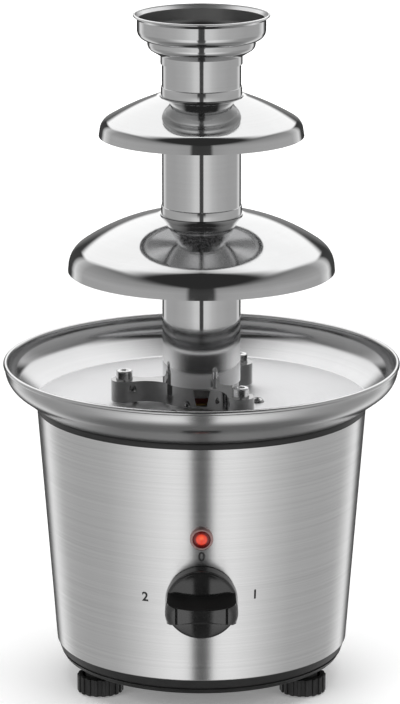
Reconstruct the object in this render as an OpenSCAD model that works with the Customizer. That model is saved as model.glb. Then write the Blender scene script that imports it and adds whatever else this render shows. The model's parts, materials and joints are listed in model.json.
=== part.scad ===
// Chocolate fountain: a heated bowl on a drum housing, with a tower of two canopies and a crown
// round a lifting screw. Millimetres, +Z up, origin on the tower's axis at the level of the table.
// The front, with the knob and the lamp, looks towards -Y.

/* [Feet] */
// How far the feet stand inside the housing's lower edge
foot_inset = 14; // [12:0.1:20]
// Radius of a foot wheel over its ribs
wheel_r = 11.1; // [10:0.1:13]
// Height of a foot wheel
wheel_h = 8.4; // [7.8:0.1:9.5]
// Number of grip flutes round a foot wheel
wheel_flutes = 18; // [12:1:24]
// Radius of a grip flute
flute_r = 1.1; // [0.8:0.1:1.3]
// Wall of the hollow in a foot wheel
wheel_wall = 2.5; // [2:0.1:3]
// Thickness of the web across a foot wheel
wheel_web = 2.2; // [1.8:0.1:3]
// Height of the hub in the hollow of a foot wheel
wheel_hub_h = 2.8; // [2:0.1:3.5]
// Radius of a foot stud
stud_r = 3; // [2.5:0.1:3.5]
// Radius of a foot pad
pad_r = 7.9; // [7:0.1:8.4]
// Thickness of a foot pad
pad_h = 1.8; // [1.2:0.1:2.4]
// How far a pad stands out below its wheel
pad_proud = 0.6; // [0.4:0.1:1]
// How far a foot can be screwed out
foot_travel = 6; // [3:0.5:8]

/* [Base] */
// Height of the base's underside above the table
base_clear = 12.4; // [11:0.1:15]
// Height of the base
base_h = 7.6; // [6.8:0.1:9]
// How far the base's upper edge lies inside the housing's face
base_inset = 0.3; // [0:0.1:1]
// How much narrower the base is at its lower edge
base_taper = 2.5; // [1:0.1:4]
// Wall of the base
base_wall = 2.4; // [2:0.1:3.2]
// Floor of the base
base_floor = 2.4; // [1.8:0.1:3]
// Radius of the base's lower edge
base_edge_r = 1.5; // [0.8:0.1:2]
// Height of the groove above the base's underside
groove_up = 2.6; // [2:0.1:3.2]
// Width of the groove round the base
groove_w = 1.1; // [0.8:0.1:1.6]
// Depth of the groove round the base
groove_d = 0.6; // [0.4:0.1:1]
// Radius of the bosses that hold the feet
foot_boss_r = 7.2; // [6.4:0.1:7.6]
// Radius of the bosses that the tie rods pass through
tie_boss_r = 5.4; // [5:0.1:6]
// Height of the bosses above the base's underside
boss_h = 5.6; // [5:0.1:6.4]
// Outer radius of a threaded insert
insert_r = 4.6; // [4:0.1:5.2]
// Number of vent slots in the base's floor
vent_slots = 12; // [6:1:16]
// Radius at which the vent slots start
vent_inner_r = 14; // [12:0.5:18]
// How far the vent slots end inside the circle of the feet
vent_inset = 26.3; // [24:0.1:32]
// Width of a vent slot
vent_w = 4; // [2:0.5:5]

/* [Housing] */
// Radius of the housing at its lower edge
housing_bottom_r = 70.3; // [68:0.1:74]
// Radius of the housing at its upper edge
housing_top_r = 79; // [77:0.1:83]
// Height of the housing
housing_h = 115.4; // [110:0.1:130]
// Thickness of the housing's sheet
housing_sheet = 0.8; // [0.6:0.1:1.2]
// Width of the hem turned in at the housing's lower edge
hem_w = 5; // [4:0.1:6]
// Height of the gasket between housing and bowl
gasket_h = 3; // [2:0.1:4]
// Width of the gasket
gasket_w = 5; // [4:0.1:7]
// Depth of the gasket's lip inside the housing
gasket_lip_h = 4; // [2:0.1:6]

/* [Bowl] */
// Radius of the bowl over its rim
rim_r = 95; // [92:0.1:102]
// Height of the rim above the gasket
bowl_h = 19.7; // [18:0.1:26]
// Thickness of the bowl's sheet
bowl_sheet = 0.8; // [0.6:0.1:1]
// Radius of the bead round the rim
bead_r = 1.1; // [0.9:0.1:1.6]
// Straight height of the wall above its curve
bowl_straight = 2.1; // [1.5:0.1:4]
// Radius of the curve between the bowl's side and its wall
bowl_curve_r = 13; // [9:0.1:14]
// How far the bowl's floor reaches past the housing's upper edge
bowl_reach = 0.6; // [0.2:0.1:1.2]
// Radius of the flat middle of the bowl's floor
bowl_flat_r = 45; // [43:0.1:50]
// How far the middle of the floor lies below its edge
bowl_dish = 2.2; // [1:0.1:3]

/* [Tower base] */
// Radius of the circle of the locating pins
pin_circle_r = 37; // [34:0.1:38]
// Radius of a locating pin
pin_r = 3.9; // [3.4:0.1:4.2]
// Height of a pin above the ear that it passes through
pin_proud = 4.4; // [3:0.1:6]
// Radius of a pin's shoulder
pin_shoulder_r = 6.2; // [5.4:0.1:6.4]
// Height of a pin's shoulder above the bowl's floor
pin_shoulder_h = 1.2; // [1:0.1:2]
// Radius of a pin's threaded shank
pin_shank_r = 2; // [1.8:0.1:2.4]
// Radius of an ear
ear_r = 6.4; // [5.8:0.1:7]
// Height of the ears and arms
arm_h = 10.1; // [9:0.1:12]
// Radius of the fillets between arms and ring
arm_fillet_r = 14; // [10:0.1:16]
// Height of the spigot inside the lower tube
spigot_h = 8.7; // [6:0.1:12]
// Width of an inlet window at its top
window_top_w = 8; // [6:0.1:10]
// Width of an inlet window at its foot
window_foot_w = 5; // [3:0.1:6]
// Height of an inlet window
window_h = 8; // [6:0.1:8.4]
// How far an inlet window is turned from the middle between two arms
window_turn = 30; // [0:1:32]

/* [Tubes] */
// Radius of the tower's tubes
tube_r = 18.7; // [18:0.1:21]
// Thickness of the tubes' sheet
tube_sheet = 0.6; // [0.5:0.1:0.8]
// Height of the lower tube up to the mouth of its canopy
lower_tube_h = 78.1; // [65:0.1:90]
// Height from the lower canopy's mouth to the upper canopy's mouth
upper_tube_h = 57.1; // [48:0.1:70]
// Height from the upper canopy's mouth to the top of the crown's tube
crown_tube_h = 22.5; // [20:0.1:30]
// How far a collar stands out from its tube
collar_proud = 0.5; // [0.3:0.1:0.8]
// Height of a collar's top above the canopy's mouth
collar_up = 7; // [6:0.1:9]
// Length of the nose that goes into the tube below
nose_l = 7; // [5:0.1:9]
// Radius of the rolled mouth of a canopy
mouth_r = 3; // [2.6:0.1:4]
// Length of the eyelet below a canopy's mouth
eyelet_l = 6; // [4:0.1:8]

/* [Canopies] */
// Thickness of the canopies' sheet
canopy_sheet = 0.6; // [0.5:0.1:0.8]
// Radius of the lower canopy at its edge
lower_edge_r = 63.6; // [60:0.1:68]
// Height of the lower canopy's skirt
lower_skirt = 1.84; // [1:0.01:4]
// How far the lower canopy's skirt flares
lower_flare = 0.2; // [0:0.01:0.6]
// Rise of the lower canopy above its skirt
lower_rise = 25.26; // [22:0.01:28]
// Radius of the lower canopy's shoulder
lower_shoulder_r = 12.2; // [8:0.1:14]
// Radius of the lower canopy's dome
lower_dome_r = 90.4; // [80:0.1:110]
// Radius of the upper canopy at its edge
upper_edge_r = 48.55; // [46:0.01:54]
// Height of the upper canopy's skirt
upper_skirt = 2.6; // [1:0.01:4]
// How far the upper canopy's skirt flares
upper_flare = 0.44; // [0:0.01:0.8]
// Rise of the upper canopy above its skirt
upper_rise = 16.52; // [14:0.01:19]
// Radius of the upper canopy's shoulder
upper_shoulder_r = 6.2; // [4:0.1:8]
// Radius of the upper canopy's dome
upper_dome_r = 127.6; // [100:0.1:150]

/* [Crown] */
// Thickness of the crown cup's sheet
cup_sheet = 0.6; // [0.5:0.1:0.8]
// Height of the cup's neck on its tube
neck_h = 3.8; // [3:0.1:6]
// How far the tube stands up above the cup's neck
neck_down = 0.4; // [0.2:0.1:1]
// Rise of the cup's foot from the neck to the riser
cup_foot_h = 5.7; // [5:0.1:8]
// Radius of the curve at the cup's foot
cup_foot_curve_r = 3.5; // [2:0.1:4]
// Radius of the cup's riser
riser_r = 25.5; // [24.5:0.1:27]
// Height of the cup's riser
riser_h = 1.4; // [1:0.1:3]
// Rise of the step above the riser
step_h = 0.6; // [0.4:0.1:1]
// Radius of the cup's wall
cup_r = 30.4; // [29:0.1:33]
// Radius of the curve below the cup's wall
cup_curve_r = 5; // [4:0.1:5.5]
// Height of the cup's wall
cup_wall_h = 4.8; // [3:0.1:8]
// How far the cup's lip turns out
lip_flare = 1.6; // [1:0.1:2.5]
// Rise of the cup's lip
lip_rise = 1.8; // [1:0.1:3]
// Radius of the bead on the cup's lip
lip_bead_r = 0.6; // [0.5:0.1:0.9]

/* [Lifting screw] */
// Pitch of the screw's blade
blade_pitch = 32; // [24:0.5:40]
// Thickness of the blade, measured round the core
blade_w = 4; // [3:0.1:5]
// Gap between the blade and the tower's narrowest bore
blade_gap = 0.4; // [0.3:0.05:0.8]
// Radius of the screw's core
core_r = 4.5; // [4:0.1:6]
// Radius of the hub at the screw's foot
screw_hub_r = 8; // [6.5:0.1:9]
// Height of the hub at the screw's foot
screw_hub_h = 17; // [16:0.1:22]
// How far the blade ends below the top of the crown's tube
blade_down = 6; // [3:0.1:12]

/* [Drive] */
// Radius of the drive shaft
shaft_r = 4; // [3.9:0.05:4.4]
// Width across the flats of the shaft's hexagon
hex_w = 6.6; // [6:0.1:6.8]
// Length of the shaft's hexagon
hex_l = 14.2; // [10:0.1:15]
// Radius of the shaft's upper bush
bush_r = 6; // [5.6:0.1:7]
// Radius of the bush's flange
bush_flange_r = 9.5; // [8:0.1:10.5]
// Thickness of the bush's flange
bush_flange_h = 1.4; // [1:0.1:2]
// Length of the bush below the bowl
bush_l = 12; // [10:0.1:13]
// Radius of the shaft seal
seal_r = 7.5; // [6.5:0.1:8]
// Height of the shaft seal
seal_h = 2; // [1.5:0.1:2.5]
// Distance between the motor plate and the bowl
standoff_h = 24; // [23:0.1:30]
// Radius of a stand-off
standoff_r = 3.5; // [3:0.1:4]
// Radius of the circle of the stand-offs
standoff_circle_r = 27; // [26.5:0.1:28]
// Radius of the motor plate
plate_r = 34; // [33:0.1:36]
// Thickness of the motor plate
plate_t = 2; // [1.5:0.1:3]
// Module of the gears
gear_module = 0.7; // [0.66:0.01:0.71]
// Number of teeth of the drive gear
gear_teeth = 60; // [56:1:60]
// Number of teeth of the motor pinion
pinion_teeth = 12; // [12:1:14]
// Width of the drive gear
gear_w = 6; // [4:0.1:7]
// Radius of the motor
motor_r = 16; // [14:0.1:16.5]
// Length of the motor
motor_l = 28; // [22:0.1:36]
// Radius of the motor's shaft
motor_shaft_r = 1.5; // [1.2:0.1:1.8]
// Direction in which the motor lies, seen from above
motor_dir = 60; // [50:1:70]

/* [Heater] */
// Thickness of the heat plate
heat_plate_t = 5; // [4.6:0.1:6]
// Radius of the tubular element
element_r = 3.2; // [2.8:0.1:3.4]
// Part of a turn that the element goes round
element_sweep = 310; // [280:1:314]
// Radius of the thermostat
thermostat_r = 7; // [6:0.1:8]
// Height of the thermostat
thermostat_h = 6; // [4:0.1:8]
// Radius of a tie rod
tie_r = 2; // [1.8:0.1:2.4]

/* [Controls] */
// Height of the knob's axis above the housing's lower edge
knob_up = 41.2; // [36:0.1:46]
// Radius of the knob
knob_r = 17; // [15:0.1:18]
// Height of the knob above the housing's face
knob_h = 21.2; // [18:0.1:21.2]
// Height of the knob's skirt above the housing's face
skirt_h = 9; // [8:0.1:11]
// Radius of the skirt's front edge
skirt_edge_r = 2.4; // [1:0.1:3]
// Radius of the bulge of the knob's front faces
knob_face_r = 76; // [60:1:120]
// Width of the knob's grip at its ends
grip_end_w = 9.5; // [8:0.1:11]
// Width of the knob's grip at its waist
grip_waist_w = 7; // [5:0.1:8]
// How far the grip's sides lean in towards its front, in degrees
grip_draft = 8; // [0:0.5:10]
// Radius of the rounded ends of the knob's grip
grip_corner_r = 5; // [2:0.1:6]
// Wall of the knob's skirt
skirt_wall = 2.4; // [2:0.1:3]
// Radius of the switch's spindle
spindle_r = 3; // [2.6:0.1:3.2]
// Radius of the switch's threaded neck
switch_neck_r = 5; // [4.6:0.1:5.4]
// Radius of the switch's body
switch_r = 12; // [10:0.1:14]
// Depth of the switch's body
switch_l = 18; // [15:0.1:24]
// Height of the lamp above the housing's lower edge
lamp_up = 71.9; // [68:0.1:80]
// Radius of the lamp's bezel
bezel_r = 5.4; // [5.2:0.1:6.2]
// Radius of the lamp's lens
lens_r = 4.1; // [3.6:0.1:4.2]
// Height of the cord gland above the housing's lower edge
gland_up = 12; // [10:0.1:30]
// Radius of the cord's passage in the gland
gland_bore_r = 3.5; // [3:0.1:4]
// Radius of the gland's flange
gland_flange_r = 7.5; // [6.5:0.1:8.5]

/* [Clearances] */
// Radial clearance of a turning fit
run_fit = 0.06; // [0.04:0.01:0.08]
// Gap between pieces that are fixed to each other
seat_gap = 0.05; // [0.02:0.01:0.08]
// Radial clearance of a piece that lifts off
lift_gap = 0.25; // [0.2:0.05:0.35]
// Gap between faces that turn or slide past each other
slide_gap = 0.2; // [0.15:0.05:0.4]
// Clearance between the gears' teeth, measured at the pitch circle
backlash = 0.12; // [0.1:0.01:0.2]

/* [Hidden] */
$fn = 96;
three = [0, 120, 240];
steps = 10;

// Feet, from the table up
foot_dirs = [-150, -30, 90];
foot_circle_r = housing_bottom_r - foot_inset;
vent_outer_r = foot_circle_r - vent_inset;
wheel_z = pad_proud;
pad_recess_z = pad_h + run_fit;
hollow_z = pad_h + wheel_web;
wheel_hub_z = hollow_z + wheel_hub_h;
wheel_hub_r = stud_r + 2.8;
hollow_r = max(wheel_r - wheel_wall, foot_boss_r + 1);
stud_z = hollow_z - 0.6;
foot_boss_z = wheel_hub_z + slide_gap;

// Base
base_z = base_clear;
base_top_z = base_z + base_h;
base_floor_z = base_z + base_floor;
base_top_r = housing_bottom_r - base_inset;
base_bottom_r = base_top_r - base_taper;
boss_top_z = base_z + boss_h;
stud_top_z = boss_top_z + foot_travel;
groove_z = base_z + groove_up;
function base_r(z) = base_bottom_r + base_taper * (z - base_z) / base_h;

// Housing and gasket
housing_z = base_top_z;
housing_top_z = housing_z + housing_h;
gasket_top_z = housing_top_z + gasket_h;
hem_r = housing_bottom_r - hem_w;
lean = atan2(housing_top_r - housing_bottom_r, housing_h);
function wall_r(z) = housing_bottom_r + (z - housing_z) * tan(lean);
function bulge(r, x) = r - sqrt(r * r - x * x);

// Bowl
bowl_floor_r = housing_top_r + bowl_reach;
bowl_under_z = gasket_top_z - bowl_dish;
bowl_top_z = bowl_under_z + bowl_sheet;
rim_z = gasket_top_z + bowl_h;
bowl_wall_r = rim_r - bead_r + bowl_sheet / 2;
bowl_curve = [bowl_wall_r - bowl_curve_r, rim_z - bowl_straight];
bowl_edge = [bowl_floor_r, gasket_top_z];
function under_bowl(r) = bowl_under_z
    + bowl_dish * max(0, r - bowl_flat_r) / (bowl_floor_r - bowl_flat_r);

// Tubes and canopies
tube_inner_r = tube_r - tube_sheet;
eyelet_r = tube_inner_r - canopy_sheet - seat_gap;
mouth_c = eyelet_r + mouth_r;
nose_r = eyelet_r - lift_gap;
nose_inner_r = nose_r - tube_sheet;
nest_r = mouth_r + lift_gap;
collar_r = tube_r + collar_proud;
bore_r = nose_inner_r;
tube_bevel = sqrt(pow(mouth_r - canopy_sheet, 2) - pow(mouth_c - tube_r, 2)) - slide_gap;

// Tower base and its pins
pin_dirs = [60, 180, 300];
arm_z = bowl_top_z + pin_shoulder_h;
arm_top_z = arm_z + arm_h;
pin_top_z = arm_top_z + pin_proud;
pin_nut_r = pin_shank_r * 2.1;
pin_nut_h = 3.2;
ear_bore_r = pin_r + lift_gap - 0.1;
ring_r = tube_inner_r - lift_gap + 0.1;
window_z = arm_top_z - 0.8 - window_h;
fillet_edge = 0.03;

// Heights up the tower
lower_mouth_z = arm_top_z + lower_tube_h;
upper_mouth_z = lower_mouth_z + upper_tube_h;
crown_top_z = upper_mouth_z + crown_tube_h;

// Crown cup
neck_r = tube_r + seat_gap + cup_sheet;
neck_top_z = crown_top_z - neck_down;
neck_z = neck_top_z - neck_h;
riser_z = neck_top_z + cup_foot_h;
cup_foot_curve = [riser_r - cup_foot_curve_r, riser_z];
step_turn = 70;
cup_curve = [cup_r - cup_curve_r, riser_z + riser_h + step_h + cup_curve_r * sin(step_turn)];
cup_wall_z = cup_curve[1] + cup_wall_h;
lip_bead = [cup_r + lip_flare - cup_sheet / 2, cup_wall_z + lip_rise];

// Drive
bush_top_z = bowl_top_z + bush_flange_h;
seal_top_z = bush_top_z + seal_h;
shoulder_z = seal_top_z + 2 * slide_gap;
screw_z = shoulder_z;
hex_r = hex_w / 2 / cos(30);
bush_bore_r = shaft_r + run_fit;
bush_nut_r = bush_r * 1.75;
bush_nut_h = 5;
plate_top_z = bowl_under_z - standoff_h;
plate_z = plate_top_z - plate_t;
plate_bush_r = shaft_r + 2;
plate_bush_flange_r = shaft_r + 4;
plate_bush_flange_h = 1.2;
plate_bush_z = plate_z - 3;
gear_z = plate_top_z + plate_bush_flange_h + slide_gap;
clip_h = 0.8;
clip_r = shaft_r + 2.2;
clip_groove_r = shaft_r - 0.5;
clip_z = plate_bush_z - slide_gap - clip_h;
shaft_z = clip_z - 2;
gear_r = gear_module * gear_teeth / 2;
pinion_r = gear_module * pinion_teeth / 2;
gear_distance = gear_r + pinion_r;
pressure_angle = 20;
motor_boss_r = motor_shaft_r + 3;
motor_boss_h = plate_t + 0.4;
motor_screw_r = 1.5;
motor_screw_out = 11;
screw_r = 1.7;
screw_head_r = 3.3;
screw_head_h = 2.2;

// Heater
heat_inner_r = pin_circle_r + pin_nut_r + 1.6;
tie_circle_r = hem_r - tie_boss_r - 0.8;
heat_edge = 4;
heat_outer_r = tie_circle_r + tie_r + heat_edge;
heat_z = bowl_under_z - seat_gap - heat_plate_t;
element_circle_r = (heat_inner_r + tie_circle_r - tie_r) / 2;
element_groove_r = element_r + seat_gap;
tie_top_z = heat_z + heat_plate_t - 1.2;
tie_nut_r = tie_r * 2.1;
tie_nut_h = 3.2;
tie_seat_z = base_z + tie_nut_h + 0.8;
tie_end_z = base_z + 0.4;

// Controls
knob_z = housing_z + knob_up;
lamp_z = housing_z + lamp_up;
gland_z = housing_z + gland_up;
knob_back = 0.6;
knob_cavity_h = 6;
knob_bore_cover = 5;
neck_out = 4.8;
switch_boss_r = switch_neck_r + 2;
switch_boss = housing_sheet + bulge(wall_r(knob_z) - housing_sheet * 2, switch_boss_r) + seat_gap;
switch_face = housing_sheet + bulge(wall_r(knob_z) - housing_sheet * 2, switch_r) + 1.2;
switch_bore_l = switch_face + switch_l - 3;
nut_r = switch_neck_r * 1.6;
nut_h = 2.5;
sleeve_r = lens_r + 0.5;
bezel_h = 1.8;
sleeve_l = 6;
holder_r = sleeve_r + 1.9;
holder_face = housing_sheet + bulge(wall_r(lamp_z) - housing_sheet * 2, holder_r) + seat_gap;
gland_neck_r = gland_bore_r + 1.7;
gland_flange_h = 2;
gland_face = housing_sheet + bulge(wall_r(gland_z) - housing_sheet * 2, gland_flange_r) + seat_gap;
terminal_gap = 4.1;

// Points of an arc about c, from angle a0 to angle a1
function arc(c, r, a0, a1, n = steps) =
    [for (i = [0:n]) let (a = a0 + (a1 - a0) * i / n) c + r * [cos(a), sin(a)]];

// Closed outline of a sheet of thickness t, to the left of the path that its face follows
function unit(v) = v / norm(v);
function left_of(v) = [-v[1], v[0]];
function side(path, i) = left_of(unit(path[i + 1] - path[i]));
function miter(path, i) =
    i == 0 ? side(path, 0) :
    i == len(path) - 1 ? side(path, i - 1) :
    let (a = side(path, i - 1), b = side(path, i)) (a + b) / (1 + a * b);
function sheet(path, t) = concat(path, [for (i = [len(path) - 1:-1:0]) path[i] + t * miter(path, i)]);

// Angle at which a straight line from p touches the lower side of a circle about c
function touch_angle(p, c, r) = atan2(p[1] - c[1], p[0] - c[0]) + acos(r / norm(p - c));

module ring_of(dirs, r) {
    for (a = dirs)
        rotate(a)
            translate([r, 0, 0])
                children();
}

// Places children on the housing's front face at height z, with their Z axis pointing outwards
module on_front(z) {
    translate([0, -wall_r(z), z])
        rotate([90 + lean, 0, 0])
            children();
}

module on_back(z) {
    rotate(180)
        on_front(z)
            children();
}

module tube_between(r, inner_r, z0, z1) {
    translate([0, 0, z0])
        difference() {
            cylinder(r = r, h = z1 - z0);
            translate([0, 0, -1])
                cylinder(r = inner_r, h = z1 - z0 + 2);
        }
}

module hex_nut(r, bore_r, h) {
    difference() {
        cylinder(r = r, h = h, $fn = 6);
        translate([0, 0, -1])
            cylinder(r = bore_r, h = h + 2);
    }
}

// Screw with a domed head that sits on z = 0
module domed_screw(head_r, head_h, shank_r, shank_l) {
    dome_r = (head_r * head_r + head_h * head_h) / (2 * head_h);
    dome = arc([0, head_h - dome_r], dome_r, acos(head_r / dome_r), 90, 6);
    rotate_extrude()
        polygon(concat([[0, -shank_l], [shank_r, -shank_l], [shank_r, 0]], dome));
}

// Feet: a fluted wheel on a stud, and the pad that it turns on

module foot_at(i) {
    rotate(foot_dirs[i])
        translate([foot_circle_r, 0, 0])
            children();
}

module foot_wheel() {
    difference() {
        translate([0, 0, wheel_z])
            cylinder(r = wheel_r, h = wheel_h);
        for (i = [0:wheel_flutes - 1])
            rotate(360 * i / wheel_flutes)
                translate([wheel_r + flute_r * 0.35, 0, wheel_z - 1])
                    cylinder(r = flute_r, h = wheel_h + 2, $fn = 24);
        difference() {
            translate([0, 0, hollow_z])
                cylinder(r = hollow_r, h = wheel_h);
            translate([0, 0, hollow_z - 1])
                cylinder(r = wheel_hub_r, h = wheel_hub_h + 1);
        }
        translate([0, 0, wheel_z - 1])
            cylinder(r = pad_r + run_fit, h = pad_recess_z - wheel_z + 1);
        translate([0, 0, stud_z])
            cylinder(r = stud_r + seat_gap, h = wheel_h);
    }
}

module foot_stud() {
    translate([0, 0, stud_z])
        cylinder(r = stud_r, h = stud_top_z - stud_z - stud_r / 3);
    translate([0, 0, stud_top_z - stud_r / 3])
        cylinder(r1 = stud_r, r2 = stud_r * 2 / 3, h = stud_r / 3);
}

module foot_pad() {
    edge = 0.5;
    rotate_extrude()
        polygon([[0, 0], [pad_r - edge, 0], [pad_r, edge], [pad_r, pad_h], [0, pad_h]]);
}

module front_left_wheel() { color("#1c1c1e") foot_at(0) foot_wheel(); }
module front_left_stud() { color("#b9b9b4") foot_at(0) foot_stud(); }
module front_left_pad() { color("#2a2a2a") foot_at(0) foot_pad(); }
module front_right_wheel() { color("#1c1c1e") foot_at(1) foot_wheel(); }
module front_right_stud() { color("#b9b9b4") foot_at(1) foot_stud(); }
module front_right_pad() { color("#2a2a2a") foot_at(1) foot_pad(); }
module rear_wheel() { color("#1c1c1e") foot_at(2) foot_wheel(); }
module rear_stud() { color("#b9b9b4") foot_at(2) foot_stud(); }
module rear_pad() { color("#2a2a2a") foot_at(2) foot_pad(); }

// Base: a shallow pan with bosses for the feet and for the tie rods

module pan_shape() {
    groove_top_z = groove_z + groove_w;
    rotate_extrude()
        polygon(concat(
            [[0, base_z]],
            arc([base_bottom_r - base_edge_r, base_z + base_edge_r], base_edge_r, -90, 0, 5),
            [
                [base_r(groove_z), groove_z],
                [base_r(groove_z) - groove_d, groove_z],
                [base_r(groove_top_z) - groove_d, groove_top_z],
                [base_r(groove_top_z), groove_top_z],
                [base_top_r, base_top_z],
                [base_top_r - base_wall, base_top_z],
                [base_r(base_floor_z) - base_wall, base_floor_z],
                [0, base_floor_z]
            ]));
}

module vent_slot() {
    slot_h = base_floor + 2;
    translate([vent_inner_r, -vent_w / 2, base_z - 1])
        cube([vent_outer_r - vent_inner_r, vent_w, slot_h]);
    for (r = [vent_inner_r, vent_outer_r])
        translate([r, 0, base_z - 1])
            cylinder(d = vent_w, h = slot_h);
}

module base_pan() {
    color("#232325")
        difference() {
            union() {
                pan_shape();
                ring_of(foot_dirs, foot_circle_r)
                    translate([0, 0, foot_boss_z])
                        cylinder(r = foot_boss_r, h = boss_top_z - foot_boss_z);
                ring_of(three, tie_circle_r)
                    translate([0, 0, base_z])
                        cylinder(r = tie_boss_r, h = boss_h);
            }
            ring_of(foot_dirs, foot_circle_r)
                translate([0, 0, foot_boss_z - 1])
                    cylinder(r = insert_r + seat_gap, h = boss_top_z - foot_boss_z + 2);
            ring_of(three, tie_circle_r) {
                translate([0, 0, base_z - 1])
                    cylinder(r = tie_r + seat_gap, h = boss_h + 2);
                translate([0, 0, base_z - 1])
                    cylinder(r = tie_nut_r + seat_gap, h = tie_seat_z - base_z + 1);
            }
            for (i = [0:vent_slots - 1])
                rotate(360 * (i + 0.5) / vent_slots)
                    vent_slot();
        }
}

module foot_inserts() {
    color("#b08d3c")
        ring_of(foot_dirs, foot_circle_r)
            tube_between(insert_r, stud_r + run_fit, foot_boss_z, boss_top_z);
}

// Housing: a conical drum of sheet, hemmed in at its foot

module housing_shell() {
    drill = 12;
    hem_top_z = housing_z + housing_sheet;
    color("#c4c5c7")
        difference() {
            rotate_extrude()
                polygon([
                    [hem_r, housing_z],
                    [housing_bottom_r, housing_z],
                    [housing_top_r, housing_top_z],
                    [housing_top_r - housing_sheet, housing_top_z],
                    [wall_r(hem_top_z) - housing_sheet, hem_top_z],
                    [hem_r, hem_top_z]
                ]);
            on_front(knob_z)
                cylinder(r = switch_neck_r + seat_gap, h = drill, center = true);
            on_front(lamp_z)
                cylinder(r = sleeve_r + seat_gap, h = drill, center = true);
            on_back(gland_z)
                cylinder(r = gland_neck_r + seat_gap, h = drill, center = true);
        }
}

module bowl_gasket() {
    lip_z = housing_top_z - gasket_lip_h;
    lip_r = wall_r(lip_z) - housing_sheet - seat_gap;
    inner_r = housing_top_r - gasket_w;
    color("#1b1b1d")
        rotate_extrude()
            polygon([
                [inner_r, lip_z],
                [lip_r, lip_z],
                [lip_r, housing_top_z],
                [housing_top_r, housing_top_z],
                [housing_top_r, under_bowl(housing_top_r)],
                [inner_r, under_bowl(inner_r)]
            ]);
}

// Bowl: pressed sheet with a dished floor, a rounded side and a beaded rim

module bowl() {
    start = touch_angle(bowl_edge, bowl_curve, bowl_curve_r);
    path = concat(
        [[bush_r + seat_gap, bowl_under_z], [bowl_flat_r, bowl_under_z], bowl_edge],
        arc(bowl_curve, bowl_curve_r, start, 0),
        [[bowl_wall_r, rim_z - bead_r]]);
    color("#d3d4d6")
        difference() {
            rotate_extrude() {
                polygon(sheet(path, bowl_sheet));
                translate([rim_r - bead_r, rim_z - bead_r])
                    circle(r = bead_r);
            }
            ring_of(pin_dirs, pin_circle_r)
                translate([0, 0, bowl_under_z - 1])
                    cylinder(r = pin_shank_r + seat_gap, h = bowl_sheet + 2);
            ring_of(three, standoff_circle_r)
                translate([0, 0, bowl_under_z - 1])
                    cylinder(r = screw_r + seat_gap, h = bowl_sheet + 2);
        }
}

module bowl_screws() {
    color("#c9cacc")
        ring_of(three, standoff_circle_r)
            translate([0, 0, bowl_top_z])
                domed_screw(screw_head_r, screw_head_h, screw_r, standoff_h / 3);
}

// Locating pins: each stands on a shoulder and is held by a nut under the bowl

module locating_pins() {
    chamfer = 0.6;
    recess_r = pin_r * 0.5;
    shank_l = bowl_sheet + pin_nut_h + 1;
    color("#cfd0d2")
        ring_of(pin_dirs, pin_circle_r)
            rotate_extrude()
                polygon([
                    [0, bowl_top_z - shank_l],
                    [pin_shank_r, bowl_top_z - shank_l],
                    [pin_shank_r, bowl_top_z],
                    [pin_shoulder_r, bowl_top_z],
                    [pin_shoulder_r, arm_z],
                    [pin_r, arm_z],
                    [pin_r, pin_top_z - chamfer],
                    [pin_r - chamfer, pin_top_z],
                    [recess_r, pin_top_z],
                    [0, pin_top_z - recess_r]
                ]);
}

module pin_nuts() {
    color("#b5b6b8")
        ring_of(pin_dirs, pin_circle_r)
            translate([0, 0, bowl_under_z - pin_nut_h])
                hex_nut(pin_nut_r, pin_shank_r + seat_gap, pin_nut_h);
}

// Tower base: a ring on three arms, with an ear for each pin and an inlet window between the arms

module arm_outline() {
    ring_reach = ring_r + arm_fillet_r;
    ear_reach = ear_r + arm_fillet_r;
    x = (ring_reach * ring_reach - ear_reach * ear_reach + pin_circle_r * pin_circle_r) / (2 * pin_circle_r);
    y = sqrt(ring_reach * ring_reach - x * x);
    difference() {
        polygon([[x, -y] / 2, [x, -y], [pin_circle_r, 0], [x, y], [x, y] / 2]);
        for (s = [-1, 1])
            translate([x, s * y])
                circle(r = arm_fillet_r - fillet_edge);
    }
    translate([pin_circle_r, 0])
        circle(r = ear_r);
}

module inlet_window() {
    rotate([90, 0, 90])
        linear_extrude(height = pin_circle_r)
            polygon([
                [-window_foot_w / 2, window_z],
                [window_foot_w / 2, window_z],
                [window_top_w / 2, window_z + window_h],
                [-window_top_w / 2, window_z + window_h]
            ]);
}

module tower_base() {
    color("#c7c8ca")
        difference() {
            union() {
                for (a = pin_dirs)
                    rotate(a)
                        translate([0, 0, arm_z])
                            linear_extrude(height = arm_h)
                                arm_outline();
                translate([0, 0, arm_z])
                    cylinder(r = ring_r, h = arm_h + spigot_h);
            }
            translate([0, 0, arm_z - 1])
                cylinder(r = bore_r, h = arm_h + spigot_h + 2);
            ring_of(pin_dirs, pin_circle_r)
                translate([0, 0, arm_z - 1])
                    cylinder(r = ear_bore_r, h = arm_h + 2);
            for (a = pin_dirs)
                rotate(a + 180 + window_turn)
                    inlet_window();
        }
}

// Tubes and canopies: the nose and collar of each tube nest in the rolled mouth of the canopy below

module lower_tube() {
    color("#d6d7d9")
        rotate_extrude()
            polygon([
                [tube_inner_r, arm_top_z],
                [tube_r, arm_top_z],
                [tube_r, lower_mouth_z + tube_bevel],
                [tube_inner_r, lower_mouth_z]
            ]);
}

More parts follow.
